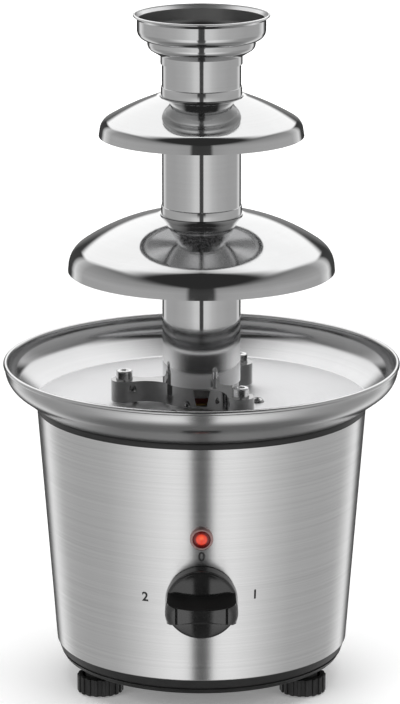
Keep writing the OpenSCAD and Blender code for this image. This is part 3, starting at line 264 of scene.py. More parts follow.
satin = {"brush": 0.4, "fine": 1500.0, "along": 6.0, "smudgeScale": 38.0, "roughRings": 0.06,
         "roughSmudge": 0.04, "depth": 0.002}
dish = satin | {"floorEdge": 1.2, "wall": 0.6, "wallGrain": 0.1, "floorGrain": 0.06, "blue": 1.008}
finishes = {
    "brushed_housing": brushedSheet("housingBrushedSteel", {
        "brush": 0.8, "along": 5.0, "fine": 3200.0, "broad": 640.0, "dark": 0.785, "light": 0.895,
        "rough": 0.2, "roughStreaks": 0.1, "depth": 0.004}),
    "satin_bowl": turnedSteel("bowlOutsideSteel", satin | {"dark": 0.64, "light": 0.78, "rough": 0.16}),
    # the bowl's inside: pale floor as painted reflection, darker upper wall band as painted shade
    "bowl_inside": dishSteel("bowlInsideSteel", dish | {
        "floorR": 78.6, "wallLow": 140.0, "wallHigh": 151.0, "wallShade": 0.12, "floor": 0.97, "matt": 0.06,
        "rough": 0.1, "floorRough": 0.42}),
    "polished_tower": turnedSteel("towerPolishedSteel", {
        "brush": 0.2, "fine": 1100.0, "along": 5.0, "smudgeScale": 52.0, "dark": 0.64, "light": 0.74,
        "rough": 0.05, "roughRings": 0.02, "roughSmudge": 0.035, "depth": 0.0008}),
    "canopy_inside": dishSteel("canopyInsideSteel", dish | {  # all floor: no canopy reaches its wall
        "floorR": 200.0, "wallLow": 400.0, "wallHigh": 420.0, "wallShade": 0.1, "floor": 0.75, "matt": 0.14,
        "rough": 0.05, "floorRough": 0.03, "depth": 0.001}),
    # painted highlight: the lip's top is paler than the tower's steel
    "crown_lip": turnedSteel("crownLipSteel", {
        "brush": 0.3, "fine": 1300.0, "along": 5.0, "smudgeScale": 60.0, "dark": 0.92, "light": 0.98,
        "rough": 0.3, "roughRings": 0.04, "roughSmudge": 0.03, "depth": 0.001}),
    # painted shade: the cup's inside is a darker copy of the tower's steel
    "cup_inside": turnedSteel("cupInsideSteel", {
        "brush": 0.5, "fine": 1100.0, "along": 5.0, "smudgeScale": 52.0, "dark": 0.34, "light": 0.42,
        "rough": 0.34, "roughRings": 0.06, "roughSmudge": 0.05, "depth": 0.001}),
    "cast_arms": plainMetal("armsPolishedCasting", {
        "grain": 1600.0, "patches": 120.0, "dark": grey(0.3), "light": grey(0.38), "rough": 0.04,
        "roughPatches": 0.05, "depth": 0.001}),
    "bright_fasteners": turnedSteel("pinsTurnedSteel", {
        "brush": 0.2, "fine": 2600.0, "along": 20.0, "smudgeScale": 160.0, "dark": 0.6, "light": 0.74,
        "rough": 0.1, "roughRings": 0.08, "roughSmudge": 0.05, "depth": 0.002}),
    "plated_fittings": plainMetal("fittingsZincPlated", {
        "grain": 2400.0, "patches": 190.0, "dark": grey(0.4, 0.02), "light": grey(0.56, -0.01), "rough": 0.26,
        "roughPatches": 0.16, "depth": 0.006}),
    "brass": plainMetal("fittingsBrass", {
        "grain": 2200.0, "patches": 210.0, "dark": (0.42, 0.28, 0.09, 1), "light": (0.6, 0.43, 0.16, 1),
        "rough": 0.24, "roughPatches": 0.14, "depth": 0.005}),
    "cast_heat_plate": plainMetal("heatPlateRawCasting", {
        "grain": 900.0, "patches": 70.0, "dark": grey(0.36), "light": grey(0.5), "rough": 0.42,
        "roughPatches": 0.2, "depth": 0.03}),
    "element_sheath": plainMetal("elementOxidisedSheath", {
        "grain": 1500.0, "patches": 160.0, "dark": grey(0.09, 0.04), "light": grey(0.2, 0.03), "rough": 0.38,
        "roughPatches": 0.2, "depth": 0.01}),
    "motor_steel": plainMetal("motorDrawnSteel", {
        "grain": 1800.0, "patches": 90.0, "dark": grey(0.3), "light": grey(0.44), "rough": 0.28,
        "roughPatches": 0.14, "depth": 0.006}),
    "black_moulding": moulded("baseBlackMoulding", {
        "pores": 2600.0, "drift": 90.0, "dark": grey(0.011), "light": grey(0.02), "rough": 0.34,
        "roughDrift": 0.14, "depth": 0.02}),
    "knob_moulding": moulded("knobBlackMoulding", {
        "pores": 1900.0, "drift": 120.0, "dark": grey(0.006), "light": grey(0.01), "rough": 0.05,
        "roughDrift": 0.06, "depth": 0.0006, "shine": 1.0}),
    # painted shade: the grip's upper flank is a darker, duller copy of the knob's moulding
    "knob_flank": moulded("knobFlankMoulding", {
        "pores": 1900.0, "drift": 120.0, "dark": grey(0.005), "light": grey(0.008), "rough": 0.5,
        "roughDrift": 0.1, "depth": 0.001, "shine": 0.3}),
    "black_rubber": moulded("gasketBlackRubber", {
        "pores": 2200.0, "drift": 70.0, "dark": grey(0.01), "light": grey(0.018), "rough": 0.3,
        "roughDrift": 0.16, "depth": 0.008}),
    "seal_rubber": moulded("sealRedSilicone", {
        "pores": 2000.0, "drift": 160.0, "dark": (0.2, 0.045, 0.03, 1), "light": (0.3, 0.075, 0.05, 1),
        "rough": 0.46, "roughDrift": 0.15, "depth": 0.01}),
    "white_moulding": moulded("fittingsWhiteMoulding", {
        "pores": 1800.0, "drift": 110.0, "dark": grey(0.68, 0.03), "light": grey(0.8, 0.02), "rough": 0.42,
        "roughDrift": 0.15, "depth": 0.01}),
    "screw_moulding": moulded("liftingScrewMoulding", {
        "pores": 1500.0, "drift": 60.0, "dark": grey(0.74, 0.02), "light": grey(0.83, 0.015), "rough": 0.26,
        "roughDrift": 0.12, "depth": 0.008}),
    "gear_moulding": moulded("gearMoulding", {
        "pores": 2100.0, "drift": 130.0, "dark": grey(0.66, 0.05), "light": grey(0.78, 0.04), "rough": 0.38,
        "roughDrift": 0.15, "depth": 0.01}),
    "switch_moulding": moulded("switchBrownMoulding", {
        "pores": 1900.0, "drift": 140.0, "dark": (0.035, 0.026, 0.021, 1), "light": (0.06, 0.046, 0.038, 1),
        "rough": 0.4, "roughDrift": 0.15, "depth": 0.012}),
}
print("finishes:", len(finishes))


# Outlines, in millimetres from the axis and the floor

def pointAt(centre, reach, turn):
    turn = math.radians(turn)
    return (centre[0] + reach * math.cos(turn), centre[1] + reach * math.sin(turn))


def arcPath(centre, radius, start, end, steps):
    return [pointAt(centre, radius, start + (end - start) * i / steps) for i in range(steps + 1)]


def tangentTurn(point, centre, radius):
    # where on the arc a line from the point touches it
    away = math.degrees(math.atan2(point[1] - centre[1], point[0] - centre[0]))
    return away + math.degrees(math.acos(radius / math.dist(point, centre)))


def softCorner(before, corner, after, steps):
    # a curve between two points, drawn towards the corner
    points = []
    for i in range(steps + 1):
        t = i / steps
        points.append(tuple((1 - t) ** 2 * a + 2 * t * (1 - t) * b + t * t * c
                            for a, b, c in zip(before, corner, after)))
    return points


def cleanPath(path, least=0.01):
    kept = [path[0]]
    for point in path[1:]:
        if math.dist(point, kept[-1]) > least:
            kept.append(point)
    return kept


def sheetOutline(path, thick):
    # the path is one face of the sheet, and the other face lies to its left
    path = [Vector(point) for point in cleanPath(path)]
    sides = []
    for here, after in zip(path, path[1:]):
        along = (after - here).normalized()
        sides.append(Vector((-along.y, along.x)))
    back = []
    for i, point in enumerate(path):
        first = sides[max(i - 1, 0)]
        second = sides[min(i, len(sides) - 1)]
        back.append(point + (first + second) * (thick / (1 + first.dot(second))))
    return [tuple(point) for point in path + back[::-1]]


# Pieces

def smooth(piece, sharp):
    mesh = piece.data
    if "custom_normal" in mesh.attributes:
        mesh.attributes.remove(mesh.attributes["custom_normal"])
    mesh.shade_smooth()
    mesh.set_sharp_from_angle(angle=math.radians(sharp))


def meshPiece(name, bm, sharp=sharpFrom):
    mesh = bpy.data.meshes.new(name)
    bm.to_mesh(mesh)
    bm.free()
    piece = bpy.data.objects.new(name, mesh)
    bpy.context.scene.collection.objects.link(piece)
    smooth(piece, sharp)
    return piece


def revolve(name, outline, around=224, axisR=1e-4):
    bm = bmesh.new()
    rings = []
    for radius, height in outline:
        if radius < axisR:
            rings.append([bm.verts.new((0, 0, height * mm))])
            continue
        ring = []
        for i in range(around):
            x, y = pointAt((0, 0), radius, 360 * i / around)
            ring.append(bm.verts.new(Vector((x, y, height)) * mm))
        rings.append(ring)
    for low, high in zip(rings, rings[1:] + rings[:1]):
        for i in range(around):
            j = (i + 1) % around
            corners = [low[i % len(low)], low[j % len(low)], high[j % len(high)], high[i % len(high)]]
            corners = list(dict.fromkeys(corners))
            if len(corners) > 2:
                bm.faces.new(corners)
    bmesh.ops.recalc_face_normals(bm, faces=bm.faces)
    return meshPiece(name, bm)


def rod(radius, low, high):
    return revolve("cutter", [(0, low), (radius, low), (radius, high), (0, high)], 64)


def block(width, depth, height, centre):
    bm = bmesh.new()
    bmesh.ops.create_cube(bm, size=1.0)
    bmesh.ops.scale(bm, vec=Vector((width, depth, height)) * mm, verts=bm.verts)
    bmesh.ops.translate(bm, vec=Vector(centre) * mm, verts=bm.verts)
    return bm


def applyModifiers(piece, sharp):
    view = bpy.context.evaluated_depsgraph_get()
    mesh = bpy.data.meshes.new_from_object(piece.evaluated_get(view))
    old = piece.data
    piece.modifiers.clear()
    piece.data = mesh
    bpy.data.meshes.remove(old)
    mesh.name = piece.name
    smooth(piece, sharp)


def combine(piece, others, operation, sharp=sharpFrom):
    for other in others:
        step = piece.modifiers.new("combine", "BOOLEAN")
        step.operation = operation
        step.solver = "EXACT"
        step.object = other
    applyModifiers(piece, sharp)
    for other in others:
        bpy.data.objects.remove(other)


def join(piece, *others):
    bm = bmesh.new()
    for part in (piece, *others):
        bm.from_mesh(part.data)
    bm.to_mesh(piece.data)
    bm.free()
    for part in others:
        bpy.data.objects.remove(part)
    return piece


def copyOf(node, name, sharp=sharpFrom):
    bm = bmesh.new()
    bm.from_mesh(frame["nodes"][node].data)
    bmesh.ops.remove_doubles(bm, verts=bm.verts, dist=weld)
    return meshPiece(name, bm, sharp)


def settle(piece, *nodes, finish=None):
    slotName = slotOf[nodes[0]]
    piece.data.materials.clear()
    piece.data.materials.append(finish or finishes[slotName])
    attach(piece, bodyOf[nodes[0]])
    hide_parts(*nodes)
    dressed.update(nodes)


def repaint(piece, finish, chosen):
    # the faces that pass the test get a finish of their own
    piece.data.materials.append(finish)
    for face in piece.data.polygons:
        if chosen(face):
            face.material_index = len(piece.data.materials) - 1


def lineInside(piece, finish, bead, beadR, beadGap=0.1):
    # the inside looks towards the axis or upwards, apart from the rolled bead
    def inside(face):
        across = math.hypot(face.center.x, face.center.y)
        inwards = -(face.normal.x * face.center.x + face.normal.y * face.center.y) / across
        off = math.hypot(across / mm - bead[0], face.center.z / mm - bead[1])
        return off > beadR + beadGap and max(inwards, face.normal.z) > facing

    repaint(piece, finish, inside)


# Repeats: a ring of copies round the axis, as geometry nodes

def nodeTree(name, inputs):
    tree = bpy.data.node_groups.new(name, "GeometryNodeTree")
    keys = {}
    for label, kind in inputs.items():
        socket = tree.interface.new_socket(name=label, in_out="INPUT", socket_type="NodeSocket" + kind)
        keys[label] = socket.identifier
    tree.interface.new_socket(name="Geometry", in_out="OUTPUT", socket_type="NodeSocketGeometry")
    source = tree.nodes.new("NodeGroupInput")
    wires = {label: Wire(tree, source.outputs[label]) for label in inputs}
    return tree, keys, wires


def closeTree(tree, geometry, material):
    real = geometry.node("GeometryNodeRealizeInstances", None, {"Geometry": geometry})
    painted = real.node("GeometryNodeSetMaterial", None, {"Geometry": real, "Material": material})
    end = tree.nodes.new("NodeGroupOutput")
    tree.links.new(painted.socket, end.inputs["Geometry"])


def runTree(piece, tree, keys, values, sharp=sharpFrom):
    modifier = piece.modifiers.new(tree.name, "NODES")
    modifier.node_group = tree
    for label, value in values.items():
        modifier[keys[label]] = value
    applyModifiers(piece, sharp)


def ringTree():
    tree, keys, wires = nodeTree("ringOfCopies", {
        "Geometry": "Geometry", "Count": "Int", "Radius": "Float", "Start": "Float", "Material": "Material"})
    base = wires["Geometry"]
    index = base.node("GeometryNodeInputIndex")
    turn = wires["Start"] + index * math.tau / wires["Count"]
    radius = wires["Radius"]
    place = base.vector(base.math("COSINE", turn) * radius, base.math("SINE", turn) * radius, 0.0)
    points = base.node("GeometryNodePoints", None, {"Count": wires["Count"], "Position": place})
    copies = base.node("GeometryNodeInstanceOnPoints", None,
                       {"Points": points, "Instance": base, "Rotation": base.vector(0.0, 0.0, turn)})
    closeTree(tree, copies, wires["Material"])
    return tree, keys


ringNodes, ringKeys = ringTree()


def ringOf(piece, count, radius, start, finish):
    runTree(piece, ringNodes, ringKeys, {
        "Count": count, "Radius": radius * mm, "Start": math.radians(start), "Material": finish})


# Camera, floor and light

camera = {"place": (-0.00072, -1.6694, 0.5937), "down": 14.51, "lens": 184.0, "sensor": 36.0, "far": 50.0}


def placeCamera():
    lens = bpy.data.cameras.new("photoCamera")
    lens.lens = camera["lens"]
    lens.sensor_width = camera["sensor"]
    lens.clip_end = camera["far"]
    eye = bpy.data.objects.new("photoCamera", lens)
    eye.location = camera["place"]
    eye.rotation_euler = (math.radians(90 - camera["down"]), 0, 0)
    bpy.context.scene.collection.objects.link(eye)
    bpy.context.scene.camera = eye
    bpy.context.scene.view_settings.view_transform = "Standard"


# The studio's brightness by direction, from 0 in front to 1 behind, and by height.
# The housing mirrors the wall's lowest belt, the tubes the level one and the canopies' skirts the high one.
# A pair with "side" in its note is a value in the middle and its growth towards the sides.
studio = {
    "wall": [(0.0, 0.08), (0.036, 0.1), (0.052, 1.0), (0.14, 1.0), (0.22, 0.84), (0.31, 0.6), (0.41, 0.41),
             (0.56, 0.36), (0.68, 0.4), (0.75, 0.66), (0.82, 0.95), (0.86, 0.5), (0.9, 0.06), (1.0, 0.04)],
    "level": [(0.0, 0.07), (0.027, 0.08), (0.036, 0.82), (0.1, 0.8), (0.18, 0.63), (0.27, 0.54),
              (0.475, 0.47), (0.68, 0.48), (0.72, 0.66), (0.775, 0.95), (0.81, 0.5), (0.84, 0.06),
              (1.0, 0.04)],
    "high": [(0.0, 0.055), (0.055, 0.06), (0.075, 0.4), (0.17, 0.43), (0.4, 0.45), (0.68, 0.45), (0.73, 0.62),
             (0.775, 0.8), (0.805, 0.45), (0.83, 0.06), (0.91, 0.05), (0.95, 0.2), (1.0, 0.28)],
    "levelFrom": (-0.37, -0.29),
    "highFrom": (-0.16, -0.05),
    "highGain": 1.12,
    "highFade": 0.7,
    "dark": 0.034,  # the ceiling over the wall
    "darkFrom": 0.34,
    "darkRise": 0.8,
    "darkSide": 0.73,
    "darkSoft": (0.04, 0.22),  # side
    "backdrop": 1.3,  # the white sheet behind
    "backFrom": (0.14, -0.18),  # side
    "backSoft": (0.06, 0.5),  # side
    "backLow": (0.06, 0.16),
    "backRise": 0.48,
    "backSide": (0.4, 0.6),
    "backLean": 0.25,
    "below": 0.16,  # the table underneath
    "belowFrom": (-0.6, -0.92),
}


def studioWorld():
    world = bpy.data.worlds.new("softStudio")
    bpy.context.scene.world = world
    world.use_nodes = True
    tree = world.node_tree
    tree.nodes.clear()
    base = Wire(tree)
    x, y, z = base.node("ShaderNodeTexCoord", None, None, "Generated").axes()
    behind = base.math("ABSOLUTE", base.math("ARCTAN2", x, 0.0 - y)) / math.pi
    side = base.math("ABSOLUTE", x)

    def belt(key):
        return base.node("ShaderNodeValToRGB", {"stops": studio[key]}, {"Fac": behind})

    def bySide(key):
        middle, growth = studio[key]
        return middle + side * growth

    high = belt("high") * (studio["highGain"] - base.math("MAXIMUM", z, 0.0) * studio["highFade"])
    level = belt("wall").blended(belt("level"), z.eased(*studio["levelFrom"]))
    level = level.blended(high, z.eased(*studio["highFrom"]))
    wallTop = base.math("MINIMUM", behind * studio["darkRise"] + studio["darkFrom"], studio["darkSide"])
    overWall = ((z - wallTop) / bySide("darkSoft")).eased(-1, 1)
    backdrop = ((y - bySide("backFrom")) / bySide("backSoft")).eased(-1, 1)
    backdrop = backdrop * (z - side * studio["backRise"]).eased(*studio["backLow"])
    backdrop = backdrop * (1 - (side - z * studio["backLean"]).eased(*studio["backSide"]))
    level = level.blended(studio["dark"], overWall)
    level = level.blended(studio["backdrop"], backdrop)
    level = level.blended(studio["below"], z.eased(*studio["belowFrom"]))
    painted = base.node("ShaderNodeBackground", None, {"Color": level})
    white = base.node("ShaderNodeBackground", None, {"Color": (1, 1, 1, 1)})
    seen = base.node("ShaderNodeLightPath", None, None, "Is Camera Ray")
    both = base.node("ShaderNodeMixShader", None, {0: seen, 1: painted, 2: white})
    end = tree.nodes.new("ShaderNodeOutputWorld")
    tree.links.new(both.socket, end.inputs["Surface"])


floorLook = {"half": 6.0, "rough": 0.9, "dark": 0.86, "light": 0.88, "clouds": 3.0, "glow": 0.2,
             "fade": (0.45, 2.2)}


def paleFloor():
    bm = bmesh.new()
    bmesh.ops.create_grid(bm, x_segments=1, y_segments=1, size=floorLook["half"])
    floor = meshPiece("paleFloor", bm)
    material, shader, base = newMaterial("paleFloor", {
        "Roughness": floorLook["rough"], "Emission Strength": 1.0})
    place = objectCoords(base)
    x, y, z = place.axes()
    clouds = place.noise(floorLook["clouds"], 2.0)
    away = x.hypot(y).eased(*floorLook["fade"])
    glow = floorLook["glow"] + away * (1 - floorLook["glow"])  # the far floor fades to white
    seen = base.node("ShaderNodeLightPath", None, None, "Is Camera Ray")
    feed(shader,
         colour=clouds.tinted(grey(floorLook["dark"]), grey(floorLook["light"])),
         glow=(seen * glow).tinted(grey(0.0), grey(1.0)))
    floor.data.materials.append(material)
    floor.visible_glossy = False


lights = {"overhead": {"place": (0.1, -0.2, 2.2), "size": 1.6, "power": 25},
          "leftSoft": {"place": (-1.6, -1.5, 1.3), "size": 1.2, "power": 19},
          "rightSoft": {"place": (1.7, -1.2, 1.2), "size": 1.2, "power": 14.5}}
lightAim = Vector((0, 0, 0.15))


def softLights():
    for name, look in lights.items():
        light = bpy.data.lights.new(name, "AREA")
        light.energy = look["power"]
        light.size = look["size"]
        holder = bpy.data.objects.new(name, light)
        holder.location = look["place"]
        holder.rotation_euler = (lightAim - Vector(look["place"])).to_track_quat("-Z", "Y").to_euler()
        holder.visible_glossy = False
        bpy.context.scene.collection.objects.link(holder)


placeCamera()
studioWorld()
paleFloor()
softLights()
print("camera, floor and light")


# Housing, gasket and bowl

housing = {"bottomR": 70.3, "topR": 79.0, "bottomZ": 20.0, "topZ": 135.4, "sheet": 0.8, "hemW": 5.0,
           "bend": 0.5, "rows": 24, "knobZ": 61.2, "knobHole": 5.05, "lampZ": 91.9, "lampHole": 4.65,
           "glandZ": 32.0, "glandHole": 5.25, "drillL": 8.0}
lean = math.atan2(housing["topR"] - housing["bottomR"], housing["topZ"] - housing["bottomZ"])


def wallR(z):
    return housing["bottomR"] + (z - housing["bottomZ"]) * math.tan(lean)


def onFront(z, turn=0.0):
    # places a piece on the housing's face, with its Z axis pointing outwards
    return (Matrix.Rotation(math.radians(turn), 4, "Z") @ Matrix.Translation((0, -wallR(z) * mm, z * mm))
            @ Matrix.Rotation(math.radians(90) + lean, 4, "X"))


def makeHousing():
    low, sheet, bend = housing["bottomZ"], housing["sheet"], housing["bend"]
    hemR = housing["bottomR"] - housing["hemW"]
    wall = []
    for i in range(housing["rows"] + 1):
        z = low + bend + (housing["topZ"] - low - bend) * i / housing["rows"]
        wall.append((wallR(z), z))
    outline = ([(hemR, low), (housing["bottomR"] - bend, low)]
               + arcPath((wallR(low + bend) - bend, low + bend), bend, -80, 0, 4)[:-1] + wall
               + [(housing["topR"] - sheet, housing["topZ"]), (wallR(low + sheet) - sheet, low + sheet),
                  (hemR, low + sheet)])
    drum = revolve("housingDrum", outline, 256)
    holes = []
    for name, turn in (("knob", 0), ("lamp", 0), ("gland", 180)):
        hole = rod(housing[name + "Hole"], -housing["drillL"], housing["drillL"])
        hole.data.transform(onFront(housing[name + "Z"], turn))
        holes.append(hole)
    combine(drum, holes, "DIFFERENCE")
    settle(drum, "housing_shell")


bowl = {"holeR": 6.05, "flatR": 45.0, "flatEdge": 4.0, "underZ": 136.2, "edge": (79.6, 138.4), "bend": 1.2,
        "curve": (81.3, 156.0), "curveR": 13.0, "wallTop": (94.3, 157.0), "bead": (93.9, 157.0), "beadR": 1.1,
        "sheet": 0.8}


def makeBowl():
    edge, curve = bowl["edge"], bowl["curve"]
    start = tangentTurn(edge, curve, bowl["curveR"])
    floorSlope = math.degrees(math.atan2(edge[1] - bowl["underZ"], edge[0] - bowl["flatR"]))
    floorEnd = pointAt(edge, -bowl["bend"], floorSlope)
    wallStart = pointAt(edge, bowl["bend"], start + 90)
    flat = (bowl["holeR"], bowl["flatR"] - bowl["flatEdge"], bowl["flatR"])
    path = ([(r, bowl["underZ"]) for r in flat] + softCorner(floorEnd, edge, wallStart, 6)
            + arcPath(curve, bowl["curveR"], start, 0, 28) + [bowl["wallTop"]])
    basin = revolve("bowlDish", sheetOutline(path, bowl["sheet"]), 288)
    bead = revolve("rimBead", arcPath(bowl["bead"], bowl["beadR"], 0, 360, 20)[:-1], 288)
    settle(join(basin, bead), "bowl")
    # the inner faces get the painted reflection on the floor and the painted shade on the upper wall
    lineInside(basin, finishes["bowl_inside"], bowl["bead"], bowl["beadR"])


gasket = {"innerR": 74.0, "outerR": 79.0, "lipR": 77.85, "lipZ": 131.4, "lowZ": 135.4, "topIn": 138.04,
          "topOut": 138.36, "lowEdge": 0.35, "topEdge": 0.8, "topDrop": 0.82}


def makeGasket():
    outer, low, lowEdge, topEdge = gasket["outerR"], gasket["lowZ"], gasket["lowEdge"], gasket["topEdge"]
    ring = revolve("bowlGasket", [
        (gasket["innerR"], gasket["lipZ"]), (gasket["lipR"], gasket["lipZ"]), (gasket["lipR"], low),
        *arcPath((outer - lowEdge, low + lowEdge), lowEdge, -90, 0, 4),
        *arcPath((outer - topEdge, gasket["topOut"] - gasket["topDrop"]), topEdge, 0, 80, 6),
        (gasket["innerR"], gasket["topIn"])], 256)
    settle(ring, "bowl_gasket")


makeHousing()
makeBowl()
makeGasket()
print("housing, bowl and gasket")


# Tower: tubes, canopies and crown

tower = {"tubeR": 18.7, "sheet": 0.6, "footZ": 148.3, "lowerMouth": 226.4, "upperMouth": 283.5,
         "crownTop": 306.0, "collarProud": 0.5, "collarUp": 7.0, "noseL": 7.0, "mouthR": 3.0, "eyeletL": 6.0,
         "seat": 0.05, "lift": 0.25, "slide": 0.2, "neckL": 2.4, "throat": 1.0}
tubeInner = tower["tubeR"] - tower["sheet"]
eyeletR = tubeInner - tower["sheet"] - tower["seat"]
mouthC = eyeletR + tower["mouthR"]
noseR = eyeletR - tower["lift"]
collarR = tower["tubeR"] + tower["collarProud"]
mouthInner = tower["mouthR"] - tower["sheet"]
tubeBevel = math.sqrt(mouthInner ** 2 - (mouthC - tower["tubeR"]) ** 2) - tower["slide"]


def lowerTube():
    low, top = tower["footZ"], tower["lowerMouth"]
    outline = [(tubeInner, low), (tower["tubeR"], low), (tower["tubeR"], top + tubeBevel), (tubeInner, top)]
    settle(revolve("lowerTube", outline), "lower_tube")


def nestedTube(name, node, mouthZ, top):
    nestR = tower["mouthR"] + tower["lift"]
    nestEnd = math.degrees(math.acos((collarR - mouthC) / nestR))
    collarTop = mouthZ + tower["collarUp"]
    neckZ = mouthZ + tower["mouthR"]
    inner = noseR - tower["sheet"]
    outline = ([(inner, mouthZ - tower["noseL"]), (noseR, mouthZ - tower["noseL"])]
               + arcPath((mouthC, mouthZ), nestR, 180, nestEnd, 12)
               + [(collarR, collarTop)]
               + arcPath((tower["tubeR"], collarTop), tower["collarProud"], 20, 90, 4)
               + top + [(tubeInner, neckZ + tower["neckL"]), (inner, neckZ)])
    settle(revolve(name, cleanPath(outline)), node)


lowerCanopy = {"edgeR": 63.6, "skirt": 1.84, "flare": 0.2, "rise": 25.26, "shoulderR": 12.2, "domeR": 90.4}
upperCanopy = {"edgeR": 48.55, "skirt": 2.6, "flare": 0.44, "rise": 16.52, "shoulderR": 6.2, "domeR": 127.6}


def canopy(name, node, mouthZ, shape):
    # mouth, dome and shoulder are three arcs that run into one another
    skirtZ = mouthZ + tower["mouthR"] - shape["rise"]
    toMouth = shape["domeR"] - tower["mouthR"]
    toShoulder = shape["domeR"] - shape["shoulderR"]
    acrossR = shape["edgeR"] - shape["flare"] - shape["shoulderR"] - mouthC
    acrossZ = skirtZ - mouthZ
    span = math.hypot(acrossR, acrossZ)
    bend = math.acos((toShoulder ** 2 + span ** 2 - toMouth ** 2) / (2 * toShoulder * span))
    end = math.degrees(math.atan2(acrossZ, acrossR) + bend)
    shoulderR, shoulderZ = pointAt((-acrossR, -acrossZ), toShoulder, end)
    start = math.degrees(math.atan2(shoulderZ, shoulderR))
    dome = pointAt((mouthC, mouthZ), -toMouth, start)
    flareTurn = math.degrees(math.atan2(shape["flare"], shape["skirt"]))
    path = ([(eyeletR, mouthZ - tower["eyeletL"])]
            + arcPath((mouthC, mouthZ), tower["mouthR"], 180, start, 20)
            + arcPath(dome, shape["domeR"], start, end, 24)
            + arcPath(pointAt(dome, toShoulder, end), shape["shoulderR"], end, flareTurn, 24)
            + [(shape["edgeR"], skirtZ - shape["skirt"])])
    piece = revolve(name, sheetOutline(path, -tower["sheet"]), 288)
    settle(piece, node)
    insideR = (mouthC + tower["throat"]) * mm
    repaint(piece, finishes["canopy_inside"], lambda face: (
        face.normal.z < -facing and math.hypot(face.center.x, face.center.y) > insideR))


crown = {"neckR": 19.35, "neckZ": 301.8, "neckTop": 305.6, "footCurve": (22.0, 311.3), "footR": 3.5,
         "riserR": 25.5, "riserTop": 312.7, "curve": (25.4, 317.998), "curveR": 5.0, "stepTurn": 70,
         "wallR": 30.4, "wallTop": 322.798, "lip": (32.0, 324.598), "bead": (31.7, 324.598), "beadR": 0.6,
         "sheet": 0.6}


def makeCrown():
    neck = (crown["neckR"], crown["neckTop"])
    start = tangentTurn(neck, crown["footCurve"], crown["footR"])
    path = ([(crown["neckR"], crown["neckZ"]), neck]
            + arcPath(crown["footCurve"], crown["footR"], start, 0, 14)
            + [(crown["riserR"], crown["riserTop"])]
            + arcPath(crown["curve"], crown["curveR"], -crown["stepTurn"], 0, 16)
            + [(crown["wallR"], crown["wallTop"]), crown["lip"]])
    cup = revolve("crownCup", sheetOutline(path, crown["sheet"]))
    bead = revolve("crownBead", arcPath(crown["bead"], crown["beadR"], 0, 360, 16)[:-1])
    settle(join(cup, bead), "crown_cup")
    # the inner faces get the painted shade
    lineInside(cup, finishes["cup_inside"], crown["bead"], crown["beadR"])
    # the lip's upward faces get the painted highlight
    repaint(cup, finishes["crown_lip"], lambda face: (
        face.center.z > crown["wallTop"] * mm and face.normal.z > facing))


lowerTube()
canopy("lowerCanopy", "lower_canopy", tower["lowerMouth"], lowerCanopy)
nestedTube("upperTube", "upper_tube", tower["lowerMouth"],
           [(tower["tubeR"], tower["upperMouth"] + tubeBevel), (tubeInner, tower["upperMouth"])])
canopy("upperCanopy", "upper_canopy", tower["upperMouth"], upperCanopy)
nestedTube("crownTube", "crown_tube", tower["upperMouth"],
           [(tower["tubeR"], tower["crownTop"]), (tubeInner, tower["crownTop"])])
makeCrown()
print("tower")


# Pins and screws in the bowl

pins = {"count": 3, "circleR": 37.0, "start": 60, "r": 3.9, "topZ": 152.7, "chamfer": 0.6, "shoulderR": 6.2,
        "edge": 0.3, "floorZ": 137.0, "armZ": 138.2, "shankR": 2.0, "shankL": 5.0, "recess": 1.95}


def makePins():
    floorZ, edge, chamfer = pins["floorZ"], pins["edge"], pins["chamfer"]
    low = floorZ - pins["shankL"]
    outline = [(0, low), (pins["shankR"], low), (pins["shankR"], floorZ), (pins["shoulderR"], floorZ),
               *arcPath((pins["shoulderR"] - edge, pins["armZ"] - edge), edge, 0, 90, 4),
               (pins["r"], pins["armZ"]),
               *arcPath((pins["r"] - chamfer, pins["topZ"] - chamfer), chamfer, 0, 90, 6),
               (pins["recess"], pins["topZ"]), (0, pins["topZ"] - pins["recess"])]
    pin = revolve("locatingPins", outline, 72)
    ringOf(pin, pins["count"], pins["circleR"], pins["start"], finishes["bright_fasteners"])
    settle(pin, "locating_pins")


screws = {"count": 3, "circleR": 27.0, "floorZ": 137.0, "headR": 3.3, "headH": 2.2, "shankR": 1.7,
          "shankL": 8.0, "slotW": 0.9, "slotL": 3.4, "slotD": 1.0}


def capPath(radius, height, low, steps):
    # a flat dome over the axis, from its edge to its top
    domeR = (radius ** 2 + height ** 2) / (2 * height)
    start = math.degrees(math.acos(radius / domeR))
    return arcPath((0, low + height - domeR), domeR, start, 90, steps)


def makeScrews():
    floorZ, slotL, slotW = screws["floorZ"], screws["slotL"], screws["slotW"]
    low = floorZ - screws["shankL"]
    outline = ([(0, low), (screws["shankR"], low), (screws["shankR"], floorZ), (screws["headR"], floorZ)]
               + capPath(screws["headR"], screws["headH"], floorZ, 10))
    screw = revolve("bowlScrews", cleanPath(outline), 56)
    top = (0, 0, floorZ + screws["headH"])
    slots = [meshPiece("cutter", block(width, depth, 2 * screws["slotD"], top))
             for width, depth in ((slotL, slotW), (slotW, slotL))]
    combine(screw, slots, "DIFFERENCE")
    ringOf(screw, screws["count"], screws["circleR"], 0, finishes["bright_fasteners"])
    settle(screw, "bowl_screws")


makePins()
makeScrews()
settle(copyOf("tower_base", "towerBase", sharp=24), "tower_base")
print("pins, screws and tower base")


# Controls

